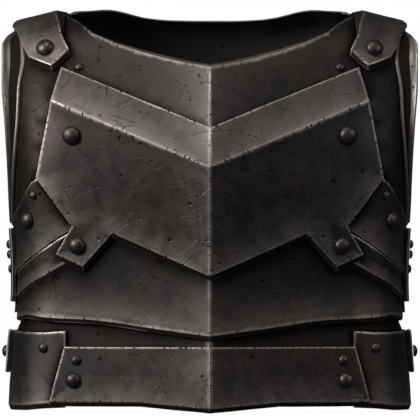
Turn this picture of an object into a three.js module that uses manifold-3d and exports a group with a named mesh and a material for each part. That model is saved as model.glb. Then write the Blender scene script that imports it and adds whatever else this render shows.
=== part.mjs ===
// A steel breastplate with its backplate: two keeled shells, applied plates, shoulder straps, armhole
// collars, side clasps and a hip belt, held together by domed rivets.
// Millimetres. +X is the wearer's left, -Y is the front, +Z is up. The hem stands on z = 0.
import * as THREE from "three";
import { mergeVertices } from "three/addons/utils/BufferGeometryUtils.js";
import Module from "manifold-3d";

const wasm = await Module();
wasm.setup();

// ---------------------------------------------------------------------------
// Driving dimensions
// ---------------------------------------------------------------------------
const GAP = 0.3; // air between two pieces that touch
const SEAM = 0.6; // half the gap between the front and the back pieces
// The thickness of each kind of sheet.
const SHEET = {
  shell: 2, flank: 2.6, flankBand: 2, chest: 4, strap: 5, band: 2, hip: 3, belt: 3.6, clasp: 4.5, lug: 5,
};
const SET_BACK = 14.2; // from the middle of the sides to the middle of the whole box
const STRAP_RISE = 2.4; // a shoulder strap's clearance over the shells
const BACK_HEM = 96; // the level lower edge of the back shell
const FLANK_BACK = { low: 104, high: 192 };
const CLASP = { half: 34, low: 116, high: 193 };
const BAND_LEVELS = { low: 14, high: 108 };
const HIP = { top: 86, foot: 160, arch: 7 }; // outboard of the foot a hip plate reaches the floor
const LUG = { low: 42, high: 87, front: -22, back: 14 };

// The body form that every sheet follows: one row for each height, half width, front and back depth.
const BODY = [
  { height: 68, half: 204.5, front: 143, back: 120 },
  { height: 99, half: 203, front: 139, back: 117 },
  { height: 130, half: 201.5, front: 136.5, back: 114 },
  { height: 165, half: 202, front: 136, back: 113 },
  { height: 200, half: 204.5, front: 137.5, back: 115 },
  { height: 240, half: 208.5, front: 138, back: 119 },
  { height: 280, half: 210.5, front: 132, back: 122 },
  { height: 315, half: 211, front: 120, back: 122 },
  { height: 345, half: 210, front: 106, back: 118 },
  { height: 370, half: 207.5, front: 91, back: 110 },
  { height: 391, half: 205.5, front: 73, back: 99 },
  { height: 404, half: 204, front: 55, back: 86 },
  { height: 412, half: 203, front: 35, back: 68 },
  { height: 417, half: 202, front: 15, back: 40 },
  { height: 419, half: 201.5, front: 0, back: 0 },
];
// The hip form that the waist band and the belt follow.
const HIPS = [
  { height: -4, half: 209.3, front: 139, back: 121 },
  { height: 30, half: 207.3, front: 137.5, back: 119.5 },
  { height: 60, half: 205, front: 135.5, back: 117.5 },
  { height: 84, half: 203, front: 133.5, back: 115.5 },
  { height: 94, half: 199.2, front: 131, back: 113 },
  { height: 112, half: 196.5, front: 130, back: 111.5 },
];

// Half of a level section, in shares of its half width and of its depths. It runs flat from the keel to
// the bend, and from there in one curve, pulled by the knee and the side, to where front and back meet.
const SECTION = { bend: 0.5, across: [0.6, 0.88, 1], front: [0.74, 0.62, 0.6], back: [0.88, 0.77, 0.6] };

const CREASE = { height: 256, slope: 0.425, rise: 41, fall: 95, stand: 12, fadeFrom: 150, fadeTo: 200 };
const SHOULDER = { inner: 144, slope: 0.26, from: 330, to: 392 }; // the shoulders slope down outwards
const NAPE = { at: 102, spread: 22, lift: 7, from: 380, to: 408 }; // the collar rises beside the nape
// The neckline: in front from the keel by one turning point to the collar bone, behind an oval.
const NECK = { half: 146, keel: 360.4, turn: 115, turnHeight: 380, top: 414, back: 72, floor: 330, steps: 6 };
const ARMHOLE = { y: 1, z: 299, half: 57, tall: 99.5, taper: 0.1, corners: 24, depth: 120 };
const COLLAR = { wall: 3.2, bead: 4, beadRise: 4.4, seat: 1, flare: 1.5, clearance: 0.5 };
// How far the collar's lip stands out from the middle: further at the shoulder than at the armpit.
const LIP = [
  { height: 180, reach: 210 },
  { height: 240, reach: 211.6 },
  { height: 270, reach: 212.8 },
  { height: 306, reach: 215 },
  { height: 335, reach: 217.6 },
  { height: 380, reach: 218.3 },
  { height: 420, reach: 217 },
];

// ---------------------------------------------------------------------------
// Solids: three.js geometry in, manifold-3d for cutting and joining, geometry out
// ---------------------------------------------------------------------------
function solid(geometry) {
  const plain = geometry.clone();
  for (const name of Object.keys(plain.attributes)) if (name !== "position") plain.deleteAttribute(name);
  const merged = mergeVertices(plain, 1e-4);
  return new wasm.Manifold(
    new wasm.Mesh({
      numProp: 3,
      vertProperties: merged.attributes.position.array,
      triVerts: new Uint32Array(merged.index.array),
    }),
  );
}

function geometryOf(piece) {
  const mesh = piece.getMesh();
  const geometry = new THREE.BufferGeometry();
  geometry.setAttribute("position", new THREE.BufferAttribute(mesh.vertProperties, 3));
  geometry.setIndex(new THREE.BufferAttribute(mesh.triVerts, 1));
  const faceted = geometry.toNonIndexed();
  faceted.computeVertexNormals();
  return faceted;
}

// The same piece on the other side of the keel.
function reflected(piece) {
  const { vertProperties, triVerts } = piece.getMesh();
  const points = vertProperties.map((value, i) => (i % 3 === 0 ? -value : value));
  const turned = triVerts.map((_, i) => triVerts[i - (i % 3) + [0, 2, 1][i % 3]]);
  return new wasm.Manifold(new wasm.Mesh({ numProp: 3, vertProperties: points, triVerts: turned }));
}

// An outline in the two other axes, extruded along `axis` from one coordinate to the other.
function prism(axis, outline, from, to) {
  const shape = new THREE.Shape(outline.map(([a, b]) => new THREE.Vector2(a, b)));
  const geometry = new THREE.ExtrudeGeometry(shape, { depth: to - from, bevelEnabled: false });
  const [X, Y, Z] = [new THREE.Vector3(1, 0, 0), new THREE.Vector3(0, 1, 0), new THREE.Vector3(0, 0, 1)];
  const turn = new THREE.Matrix4();
  if (axis === "x") turn.makeBasis(Y, Z, X).setPosition(from, 0, 0);
  if (axis === "y") turn.makeBasis(X, Z, Y.clone().negate()).setPosition(0, to, 0);
  if (axis === "z") turn.makeBasis(X, Y, Z).setPosition(0, 0, from);
  return solid(geometry.applyMatrix4(turn));
}

function box(low, high) {
  const size = high.map((value, i) => value - low[i]);
  const middle = high.map((value, i) => (value + low[i]) / 2);
  return solid(new THREE.BoxGeometry(...size).translate(...middle));
}

const mix = (a, b, share) => a + (b - a) * share;
const smooth = (from, to, value) => {
  const share = Math.min(1, Math.max(0, (value - from) / (to - from)));
  return share * share * (3 - 2 * share);
};

// ---------------------------------------------------------------------------
// The forms. `around` runs from -2 at the spine by -1 at one side, 0 at the keel and 1 at the other side
// to 2 at the spine; `up` counts the rows of a form, and past the last row comes down the other face.
// ---------------------------------------------------------------------------
function rowAt(form, up) {
  const last = form.length - 1;
  const i = Math.min(last - 1, Math.max(0, Math.floor(up)));
  const [before, low, high, after] = [-1, 0, 1, 2].map((k) => form[Math.min(last, Math.max(0, i + k))]);
  const share = up - i;
  const value = (name) => {
    const [a, b, c, d] = [before[name], low[name], high[name], after[name]];
    const [rise, next] = [(c - a) / 2, (d - b) / 2];
    const [squared, cubed] = [share ** 2, share ** 3];
    const fromLow = (2 * cubed - 3 * squared + 1) * b + (cubed - 2 * squared + share) * rise;
    return fromLow + (3 * squared - 2 * cubed) * c + (cubed - squared) * next;
  };
  return { height: value("height"), half: value("half"), front: value("front"), back: value("back") };
}

function upAt(form, height) {
  let [low, high] = [0, form.length - 1];
  for (let step = 0; step < 40; step += 1) {
    const middle = (low + high) / 2;
    if (rowAt(form, middle).height < height) low = middle;
    else high = middle;
  }
  return (low + high) / 2;
}

const pulled = (t, a, b, c, d) =>
  (1 - t) ** 3 * a + 3 * (1 - t) ** 2 * t * b + 3 * (1 - t) * t ** 2 * c + t ** 3 * d;
const flatShare = (t) => t / SECTION.bend;
const roundShare = (t) => (t - SECTION.bend) / (1 - SECTION.bend);

function acrossAt(t, half) {
  const [bend, knee, side] = SECTION.across;
  return half * (t < SECTION.bend ? bend * flatShare(t) : pulled(roundShare(t), bend, knee, side, side));
}

// The front is flat on each side of the keel; the back is round, so that its flat part bows a little.
function depthAt(t, depth, shares, bow) {
  const [bend, knee, side] = shares;
  const flat = 1 - (1 - bend) * flatShare(t) ** bow;
  return depth * (t < SECTION.bend ? flat : pulled(roundShare(t), bend, knee, side, 0));
}

const creaseHeight = (x) => CREASE.height + CREASE.slope * Math.abs(x);

// How far the chest stands out at its crease, which is highest on a V-shaped line.
function creaseStand(x, z) {
  const over = z - creaseHeight(x);
  const share = over >= 0 ? Math.max(0, 1 - over / CREASE.rise) : Math.max(0, 1 + over / CREASE.fall) ** 2;
  return CREASE.stand * share * (1 - smooth(CREASE.fadeFrom, CREASE.fadeTo, Math.abs(x)));
}

function formPoint(form, around, up) {
  const place = around > 2 ? around - 4 : around;
  const ridge = form.length - 1;
  const over = up > ridge;
  const row = rowAt(form, over ? 2 * ridge - up : up);
  const turned = Math.abs(place) > 1;
  const t = turned ? 2 - Math.abs(place) : Math.abs(place);
  const x = (Math.sign(place) || 1) * acrossAt(t, row.half);
  const backwards = turned !== over;
  const y = backwards ? depthAt(t, row.back, SECTION.back, 2) : -depthAt(t, row.front, SECTION.front, 1);
  if (form !== BODY) return new THREE.Vector3(x, y, row.height);
  const sloped = SHOULDER.slope * Math.max(0, Math.abs(x) - SHOULDER.inner);
  const bell = Math.exp(-(((Math.abs(x) - NAPE.at) / NAPE.spread) ** 2));
  const lift = backwards ? NAPE.lift * bell * smooth(NAPE.from, NAPE.to, row.height) : 0;
  const z = row.height - sloped * smooth(SHOULDER.from, SHOULDER.to, row.height) + lift;
  return new THREE.Vector3(x, backwards ? y : y - creaseStand(x, z), z);
}

function outwards(form, around, up) {
  const step = 1e-3;
  const across = formPoint(form, around + step, up).sub(formPoint(form, around - step, up));
  const climb = formPoint(form, around, up + step).sub(formPoint(form, around, up - step));
  return across.cross(climb).normalize();
}

// A point that stands `offset` off the form; on the keel it keeps the sheet's corner sharp.
function standing(form, around, up, offset) {
  const normal = outwards(form, around, up);
  const onKeel = Math.abs(around) < 1e-6;
  const mitre = onKeel ? 1 / Math.max(0.7, normal.dot(outwards(form, 0.05, up))) : 1;
  return formPoint(form, around, up).addScaledVector(normal, offset * mitre);
}

function indexed(points, triangles) {
  const geometry = new THREE.BufferGeometry();
  geometry.setAttribute("position", new THREE.Float32BufferAttribute(points.flatMap((p) => p.toArray()), 3));
  return geometry.setIndex(triangles);
}

// A sheet between two offsets from a form, over a grid of columns (around) and rows (up at each column).
function sheet(form, columns, rows, inner, outer) {
  const points = [];
  for (const offset of [outer, inner])
    for (const around of columns)
      for (const row of rows) points.push(standing(form, around, row(around), offset));
  const [m, n] = [columns.length, rows.length];
  const at = (layer, i, j) => (layer * m + i) * n + j;
  const triangles = [];
  const quad = (a, b, c, d) => triangles.push(a, b, c, a, c, d);
  // The diagonals of the right half mirror those of the left.
  const onRight = (i) => columns[i] + columns[i + 1] < 0 || columns[i] >= 2;
  const face = (i, a, b, c, d) => (onRight(i) ? quad(b, c, d, a) : quad(a, b, c, d));
  for (let i = 0; i + 1 < m; i += 1) {
    for (let j = 0; j + 1 < n; j += 1) {
      face(i, at(0, i, j), at(0, i + 1, j), at(0, i + 1, j + 1), at(0, i, j + 1));
      face(i, at(1, i, j), at(1, i, j + 1), at(1, i + 1, j + 1), at(1, i + 1, j));
    }
    quad(at(0, i, 0), at(1, i, 0), at(1, i + 1, 0), at(0, i + 1, 0));
    quad(at(0, i, n - 1), at(0, i + 1, n - 1), at(1, i + 1, n - 1), at(1, i, n - 1));
  }
  for (let j = 0; j + 1 < n; j += 1) {
    quad(at(0, 0, j), at(0, 0, j + 1), at(1, 0, j + 1), at(1, 0, j));
    quad(at(0, m - 1, j), at(1, m - 1, j), at(1, m - 1, j + 1), at(0, m - 1, j + 1));
  }
  return solid(indexed(points, triangles));
}

// A closed ring of equal profiles, one after the other.
function ringSolid(rings) {
  const n = rings[0].length;
  const triangles = [];
  for (let i = 0; i < rings.length; i += 1) {
    const next = (i + 1) % rings.length;
    for (let j = 0; j < n; j += 1) {
      const [a, b] = [i * n + j, i * n + ((j + 1) % n)];
      const [c, d] = [next * n + ((j + 1) % n), next * n + j];
      triangles.push(a, b, c, a, c, d);
    }
  }
  return solid(indexed(rings.flat(), triangles));
}

// Finds the place on a form whose offset surface has the wanted coordinates, `first` being "x" or "y".
function locate(form, first, wanted, z, offset, start) {
  const step = 1e-3;
  let [around, up] = [start, upAt(form, z)];
  for (let turn = 0; turn < 30; turn += 1) {
    const here = standing(form, around, up, offset);
    const slope = (standing(form, around + step, up, offset)[first] - here[first]) / step;
    const climb = (standing(form, around, up + step, offset).z - here.z) / step;
    around += Math.max(-0.1, Math.min(0.1, (wanted - here[first]) / slope));
    up += Math.max(-0.5, Math.min(0.5, (z - here.z) / climb));
  }
  return { point: standing(form, around, up, offset), normal: outwards(form, around, up) };
}

// ---------------------------------------------------------------------------
// One grid of columns and rows for each form. Every sheet on a form takes its corners from the same grid,
// so that a sheet lies on the next one without cutting through it.
// ---------------------------------------------------------------------------
const HALF_COLUMNS = [0.25, 0.5, 0.62, 0.73, 0.83, 0.92];
const RIGHT_TO_LEFT = [-1, ...HALF_COLUMNS.map((t) => -t).reverse(), 0, ...HALF_COLUMNS, 1];
// The back runs from the left side, by the spine at 2, to the right side at 3.
const TO_SPINE = HALF_COLUMNS.map((t) => 2 - t).reverse();
const LEFT_TO_RIGHT = [1, ...TO_SPINE, 2, ...HALF_COLUMNS.map((t) => 2 + t), 3];
const COLUMNS = [...RIGHT_TO_LEFT, ...LEFT_TO_RIGHT.slice(1)];
const columnsOf = (low, high) => COLUMNS.filter((around) => around >= low && around <= high);

const RIDGE = BODY.length - 1;
const CREASE_EDGE = 165; // past this distance from the keel the rows run level
const NOMINAL_HALF = 203;
const bodyRow = (height) => () => upAt(BODY, height);
const hipRow = (height) => () => upAt(HIPS, height);
const between = (low, high, share) => (around) => mix(low(around), high(around), share);

// A row beside the crease, level from the sides to the back.
function creaseRow(rise) {
  return (around) => {
    const x = Math.abs(around) < 1 ? acrossAt(Math.abs(around), NOMINAL_HALF) : CREASE_EDGE;
    return upAt(BODY, creaseHeight(Math.min(x, CREASE_EDGE)) + rise);
  };
}

const HEM_ROW = bodyRow(74);
const LOW_ROW = creaseRow(-112);
const CHEST_TOP_ROW = creaseRow(CREASE.rise);
const TOP_ROW = () => RIDGE;
const BODY_ROWS = [
  HEM_ROW,
  between(HEM_ROW, LOW_ROW, 0.3),
  between(HEM_ROW, LOW_ROW, 0.62),
  LOW_ROW,
  creaseRow(-74),
  creaseRow(-38),
  creaseRow(0),
  CHEST_TOP_ROW,
  ...[0.22, 0.43, 0.62, 0.8, 0.92, 1].map((share) => between(CHEST_TOP_ROW, TOP_ROW, share)),
];
// Over the ridge of the shoulder: the front's upper rows up, then the back's upper rows down.
const UPPER_ROWS = BODY_ROWS.slice(BODY_ROWS.indexOf(CHEST_TOP_ROW));
const OVER_ROWS = [
  ...UPPER_ROWS,
  ...UPPER_ROWS.slice(0, -1).reverse().map((row) => () => 2 * RIDGE - row(1)),
];
const HIP_ROWS = [-3, 84, 94, 112].map(hipRow);

const bodySheet = (columns, inner, outer) => sheet(BODY, columns, BODY_ROWS, inner, outer);
const hipSheet = (columns, inner, outer) => sheet(HIPS, columns, HIP_ROWS, inner, outer);

// ---------------------------------------------------------------------------
// Openings: the neckline, cut from the front and from above, and the armholes, cut from the sides
// ---------------------------------------------------------------------------
const FAR = 400; // past everything, for cutters
const fromFront = (outline) => prism("y", outline, -FAR, 0);
const fromBack = (outline) => prism("y", outline, 0, FAR);
const bothSides = (half) => [...half, ...half.slice().reverse().map(([x, z]) => [-x, z])];
const inFront = () => box([-FAR, -FAR, -FAR], [FAR, -SEAM, 2 * FAR]);
const behind = () => box([-FAR, SEAM, -FAR], [FAR, FAR, 2 * FAR]);

// The front neckline runs up from the keel in one curve to the collar bone.
function frontNeck() {
  const half = new THREE.QuadraticBezierCurve(
    new THREE.Vector2(0, NECK.keel),
    new THREE.Vector2(NECK.turn, NECK.turnHeight),
    new THREE.Vector2(NECK.half, NECK.top),
  );
  const curve = half.getPoints(NECK.steps).map((point) => [point.x, point.y]);
  const corner = [NECK.half, 2 * FAR];
  return fromFront([...curve, corner, ...[corner, ...curve.slice(1).reverse()].map(([x, z]) => [-x, z])]);
}

// The back neckline is half an oval seen from above.
function backNeck() {
  const outline = Array.from({ length: 2 * NECK.steps + 1 }, (_, i) => {
    const angle = (Math.PI * i) / (2 * NECK.steps);
    return [NECK.half * Math.cos(angle), NECK.back * Math.sin(angle)];
  });
  return prism("z", [...outline, [-NECK.half, -5], [NECK.half, -5]], NECK.floor, 2 * FAR);
}

// The place on the armhole at one angle, `grow` outside its edge: narrower towards the shoulder.
function armholeAt(angle, grow) {
  const narrow = 1 - ARMHOLE.taper * Math.max(0, Math.sin(angle));
  const y = ARMHOLE.y + (ARMHOLE.half * narrow + grow) * Math.cos(angle);
  return { y, z: ARMHOLE.z + (ARMHOLE.tall + grow) * Math.sin(angle) };
}

const ARM_ANGLES = Array.from({ length: ARMHOLE.corners }, (_, i) => (2 * Math.PI * i) / ARMHOLE.corners);

function armholeCutter(grow) {
  const outline = ARM_ANGLES.map((angle) => armholeAt(angle, grow)).map(({ y, z }) => [y, z]);
  return prism("x", outline, ARMHOLE.depth, FAR);
}

// ---------------------------------------------------------------------------
// Outlines seen from the front, [x, z], for the side where x is positive
// ---------------------------------------------------------------------------
const HEM = [[0, 79], [73, 89], [110, 95], [155, 97], [184, 99], [191, 101], [215, 94]];
const CHEST = [
  [0, 297.5], [155.4, 361.5], [166, 326], [181.5, 245.5], [144.5, 193.5],
  [161.5, 165], [132.2, 151], [101.2, 185.6], [0, 140.5],
];
const FLANK = [
  [140, 250], [176, 250], [184.2, 244.3], [195, 225.8], [204.5, 203], [212, 195], [225, 192],
  [225, 117], [200.6, 150.4], [186.1, 162.6], [171.6, 173], [149, 186.7], [140, 190],
];
const FLANK_BAND = [
  [140, 189.4], [149, 185.9], [171.6, 172.2], [186.1, 161.8], [200.6, 149.6], [225, 116.2],
  [225, 96], [212, 107], [203.5, 117], [196.9, 127], [182.8, 136.5], [151, 153.5], [140, 159],
];
const STRAP_FRONT = [
  [214, 440], [214, 411], [208.5, 398], [190.5, 370.5],
  [165.5, 361], [146.5, 377.5], [156.5, 410], [156, 440],
];
const STRAP_BACK = [
  [214, 440], [214, 411], [208.5, 396], [186, 352], [163, 341], [141, 356], [142, 410], [141, 440],
];
const BELT = [[0, 69.7], [151.8, 69.7], [168.5, 9], [73, 9], [0, 2.5]];
const HIP_CUTAWAY = [[100, 100], [140, 100], [140, 88], [152, 69], [148, 60], [148, -10], [100, -10]];

// ---------------------------------------------------------------------------
// The pieces
// ---------------------------------------------------------------------------
function breastShell() {
  const outline = [...bothSides([...HEM].reverse()), [-215, 2 * FAR], [215, 2 * FAR]];
  const shell = bodySheet(RIGHT_TO_LEFT, -SHEET.shell, 0).intersect(inFront()).subtract(frontNeck());
  return shell.intersect(fromFront(outline));
}

function backShell() {
  const above = box([-FAR, 0, BACK_HEM], [FAR, FAR, 2 * FAR]);
  const shell = bodySheet(LEFT_TO_RIGHT, -SHEET.shell, 0).intersect(behind()).subtract(backNeck());
  return shell.intersect(above);
}

function chestPlate() {
  const inner = SHEET.flank + 2 * GAP;
  return bodySheet(RIGHT_TO_LEFT, inner, inner + SHEET.chest).intersect(fromFront(bothSides(CHEST)));
}

function flankPiece(outline, thickness) {
  const wide = bodySheet(columnsOf(0.5, 1), GAP, GAP + thickness);
  return wide.intersect(fromFront(outline)).intersect(inFront());
}

function flankBackPlate() {
  const level = box([-FAR, -FAR, FLANK_BACK.low], [FAR, FAR, FLANK_BACK.high]);
  return bodySheet(columnsOf(1, 1.3), GAP, GAP + SHEET.flank).intersect(behind()).intersect(level);
}

function shoulderStrap() {
  const wide = sheet(BODY, columnsOf(0.38, 1), OVER_ROWS, STRAP_RISE, STRAP_RISE + SHEET.strap);
  return wide.intersect(prism("y", STRAP_FRONT, -FAR, SEAM).add(prism("y", STRAP_BACK, 0, FAR)));
}

// A turned collar round an armhole: a rolled bead on the shell, a groove, and a wall that stands out
// sideways to a thin lip. One closed profile for each angle round the armhole.
function armCollar() {
  const { bead, beadRise, wall, seat, flare, clearance } = COLLAR;
  const rings = ARM_ANGLES.map((angle) => {
    const surface = (grow) => {
      const { y, z } = armholeAt(angle, grow);
      return locate(BODY, "y", y, z, 0, y < 0 ? 0.9 : 1.1).point.x;
    };
    const lip = lipAt(armholeAt(angle, 0).z);
    const inner = surface(-clearance) - SHEET.shell - 2;
    const profile = [
      [-clearance, inner],
      [-clearance, surface(-clearance) + seat],
      [bead, surface(bead) + seat],
      [bead - 0.6, surface(bead) + beadRise],
      [0, surface(0) + beadRise * 0.8],
      [-clearance, lip - 4],
      [flare, lip - 1.2],
      [-1, lip],
      [-clearance - wall, lip - 1.5],
      [-clearance - wall, inner],
    ];
    return profile.map(([grow, x]) => {
      const { y, z } = armholeAt(angle, grow);
      return new THREE.Vector3(x, y, z);
    });
  });
  return ringSolid(rings.reverse());
}

function lipAt(z) {
  const over = LIP.findIndex((row) => row.height > z);
  const [low, high] = [LIP[over - 1], LIP[over]];
  return mix(low.reach, high.reach, (z - low.height) / (high.height - low.height));
}

function sideClasp() {
  const inner = SHEET.flank + 2 * GAP;
  const plate = box([-FAR, -CLASP.half, CLASP.low], [FAR, CLASP.half, CLASP.high]);
  return bodySheet(columnsOf(0.8, 1.2), inner, inner + SHEET.clasp).intersect(plate);
}

function waistBand(front) {
  const level = box([-FAR, -FAR, BAND_LEVELS.low], [FAR, FAR, BAND_LEVELS.high]);
  const band = hipSheet(front ? RIGHT_TO_LEFT : LEFT_TO_RIGHT, -SHEET.band, 0);
  return band.intersect(level).intersect(front ? inFront() : behind());
}

function hipPlate() {
  const level = box([-FAR, -FAR, 0], [FAR, FAR, HIP.top]);
  const arch = box([-HIP.foot, -FAR, -FAR], [HIP.foot, FAR, HIP.arch]);
  const plate = hipSheet(columnsOf(0.5, 1.38), GAP, GAP + SHEET.hip).intersect(level).subtract(arch);
  return plate.subtract(fromFront(HIP_CUTAWAY));
}

function beltPlate(front) {
  const inner = SHEET.hip + 2 * GAP;
  const plate = hipSheet(front ? columnsOf(-0.93, 0.93) : LEFT_TO_RIGHT, inner, inner + SHEET.belt);
  return plate.intersect(front ? fromFront(bothSides(BELT)) : fromBack(bothSides(BELT)));
}

function hipLug() {
  const inner = SHEET.hip + 2 * GAP;
  const lug = box([-FAR, LUG.front, LUG.low], [FAR, LUG.back, LUG.high]);
  return hipSheet(columnsOf(0.8, 1.2), inner, inner + SHEET.lug).intersect(lug);
}

// ---------------------------------------------------------------------------
// Rivets: a domed head on the outer sheet, and a shank through every sheet that it holds. A place is
// given by its distance x from the keel or, on the sides, by its y, and by its height z.
// ---------------------------------------------------------------------------
const HEAD = { gap: 0.7, rise: 0.58, large: 6 };
const DOME = { large: { sides: 10, rings: [0.5, 1] }, small: { sides: 8, rings: [0.55, 1] } };
const SHANK = { sides: 5, share: 0.34, least: 1.6, clearance: 0.35, tail: 1 };
const FACE = {
  shell: 0,
  flank: GAP + SHEET.flank,
  chest: 2 * GAP + SHEET.flank + SHEET.chest,
  clasp: 2 * GAP + SHEET.flank + SHEET.clasp,
  strap: STRAP_RISE + SHEET.strap,
  hip: GAP + SHEET.hip,
  belt: 2 * GAP + SHEET.hip + SHEET.belt,
  lug: 2 * GAP + SHEET.hip + SHEET.lug,
};
const RIVETS = [
  { name: "strap_rivet", x: 172, z: 381, radius: 9.5, face: FACE.strap,
    holds: ["shoulder_strap", "breast_shell"] },
  { name: "chest_rivet", x: 144, z: 289.5, radius: 9.8, face: FACE.chest,
    holds: ["chest_plate", "breast_shell"] },
  { name: "tab_rivet", x: 138, z: 174.5, radius: 8.9, face: FACE.chest,
    holds: ["chest_plate", "breast_shell"] },
  { name: "flank_rivet", x: 190, z: 201, radius: 8.6, face: FACE.flank,
    holds: ["flank_plate", "breast_shell"] },
  { name: "flank_small_rivet", x: 184, z: 227, radius: 4.5, face: FACE.flank,
    holds: ["flank_plate", "breast_shell"] },
  { name: "neck_rivet", x: 136.3, z: 361, radius: 4.7, face: FACE.shell,
    holds: ["breast_shell"] },
  { name: "clasp_upper_rivet", y: -17, z: 176, radius: 4.7, face: FACE.clasp,
    holds: ["side_clasp", "flank_plate", "breast_shell"] },
  { name: "clasp_lower_rivet", y: -17, z: 165.5, radius: 4.7, face: FACE.clasp,
    holds: ["side_clasp", "flank_plate", "breast_shell"] },
  { name: "clasp_back_rivet", y: 17, z: 150, radius: 4.7, face: FACE.clasp,
    holds: ["side_clasp", "flank_back_plate", "back_shell"] },
  { name: "strap_back_rivet", x: 166, z: 362, back: true, radius: 9, face: FACE.strap,
    holds: ["shoulder_strap", "back_shell"] },
  { name: "hip_rivet", x: 173.5, z: 68.5, form: HIPS, radius: 5.2, face: FACE.hip,
    holds: ["hip_plate", "waist_band"] },
  { name: "belt_small_rivet", x: 139, z: 55.8, form: HIPS, radius: 5.2, face: FACE.belt,
    holds: ["belt_front_plate", "waist_band"] },
  { name: "belt_rivet", x: 142, z: 34.8, form: HIPS, radius: 7.9, face: FACE.belt,
    holds: ["belt_front_plate", "waist_band"] },
  { name: "belt_back_rivet", x: 142, z: 40, back: true, form: HIPS, radius: 7.9, face: FACE.belt,
    holds: ["belt_back_plate", "waist_band_back"] },
  { name: "lug_rivet", y: -9, z: 64, form: HIPS, radius: 6.2, face: FACE.lug,
    holds: ["hip_lug", "hip_plate", "waist_band"] },
];

function seatOf(rivet) {
  const first = rivet.x === undefined ? "y" : "x";
  const start = first === "y" ? (rivet.y < 0 ? 0.93 : 1.07) : rivet.back ? 1.4 : 0.6;
  return locate(rivet.form ?? BODY, first, rivet[first], rivet.z, rivet.face, start);
}

function onSeat(geometry, seat) {
  const turn = new THREE.Quaternion().setFromUnitVectors(new THREE.Vector3(0, 1, 0), seat.normal);
  return solid(geometry.applyQuaternion(turn).translate(...seat.point.toArray()));
}

const shankRadius = (rivet) => Math.max(SHANK.least, rivet.radius * SHANK.share);
const shankLength = (rivet) => rivet.face + SHEET.shell + SHANK.tail;

function rivetSolid(rivet, seat) {
  const { radius } = rivet;
  const { sides, rings } = radius > HEAD.large ? DOME.large : DOME.small;
  const dome = [0, ...rings].map((share) => {
    const angle = (share * Math.PI) / 2;
    return new THREE.Vector2(radius * Math.sin(angle), HEAD.gap + radius * HEAD.rise * Math.cos(angle));
  });
  const head = new THREE.LatheGeometry([new THREE.Vector2(0, HEAD.gap), ...dome.reverse()], sides);
  const length = shankLength(rivet) + HEAD.gap + 1;
  const shank = new THREE.CylinderGeometry(shankRadius(rivet), shankRadius(rivet), length, SHANK.sides);
  shank.translate(0, HEAD.gap + 1 - length / 2, 0);
  return onSeat(head, seat).add(onSeat(shank, seat));
}

function rivetHole(rivet, seat) {
  const radius = shankRadius(rivet) + SHANK.clearance;
  const length = shankLength(rivet) + SHANK.tail + 2;
  const drill = new THREE.CylinderGeometry(radius, radius, length, SHANK.sides);
  return onSeat(drill.translate(0, 1 - length / 2, 0), seat);
}

// ---------------------------------------------------------------------------
// Assembly
// ---------------------------------------------------------------------------
const pieces = new Map();
const pair = (name) => [`${name}_left`, `${name}_right`];

function addPair(name, left) {
  const [onLeft, onRight] = pair(name);
  pieces.set(onLeft, left);
  pieces.set(onRight, reflected(left));
}

function bore(name, hole) {
  const [onLeft, onRight] = pieces.has(name) ? [name, name] : pair(name);
  pieces.set(onLeft, pieces.get(onLeft).subtract(hole));
  pieces.set(onRight, pieces.get(onRight).subtract(reflected(hole)));
}

const collarRoom = armholeCutter(COLLAR.bead + GAP);
pieces.set("breast_shell", breastShell());
pieces.set("back_shell", backShell());
for (const shell of ["breast_shell", "back_shell"]) bore(shell, armholeCutter(0));
pieces.set("chest_plate", chestPlate());
pieces.set("waist_band", waistBand(true));
pieces.set("waist_band_back", waistBand(false));
pieces.set("belt_front_plate", beltPlate(true));
pieces.set("belt_back_plate", beltPlate(false));
addPair("flank_plate", flankPiece(FLANK, SHEET.flank).subtract(collarRoom));
addPair("flank_band", flankPiece(FLANK_BAND, SHEET.flankBand));
addPair("flank_back_plate", flankBackPlate());
addPair("shoulder_strap", shoulderStrap().subtract(collarRoom));
addPair("arm_collar", armCollar());
addPair("side_clasp", sideClasp());
addPair("hip_plate", hipPlate());
addPair("hip_lug", hipLug());
for (const rivet of RIVETS) {
  const seat = seatOf(rivet);
  for (const name of rivet.holds) bore(name, rivetHole(rivet, seat));
  addPair(rivet.name, rivetSolid(rivet, seat));
}

const STEEL = { shell: 0x4a4745, plate: 0x565250, rivet: 0x6a6664 };
const finish = (name) => {
  const tone = name.includes("rivet") ? STEEL.rivet : name.includes("shell") ? STEEL.shell : STEEL.plate;
  return new THREE.MeshStandardMaterial({ color: tone, roughness: 0.45, metalness: 0.9 });
};

// The group is set back so that its box is centred on the origin.
const breastplate = new THREE.Group();
breastplate.position.y = SET_BACK;
for (const [name, piece] of pieces) {
  const mesh = new THREE.Mesh(geometryOf(piece), finish(name));
  mesh.name = name;
  breastplate.add(mesh);
}

export default breastplate;
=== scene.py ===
# %% [markdown]
# # A steel breastplate with its backplate
# The armour is made of forged sheets: two keeled shells, plates laid on them, straps over the shoulders,
# collars round the armholes and a belt, all held by domed rivets. A smith cuts each sheet flat, files its
# edges, and then hammers it over a stake that has the shape of the body. This lesson works in that order.

# %% Frame and tools
import math
import random

import bmesh
import bpy
import numpy as np
from mathutils import Matrix, Vector
from mathutils.kdtree import KDTree


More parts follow.
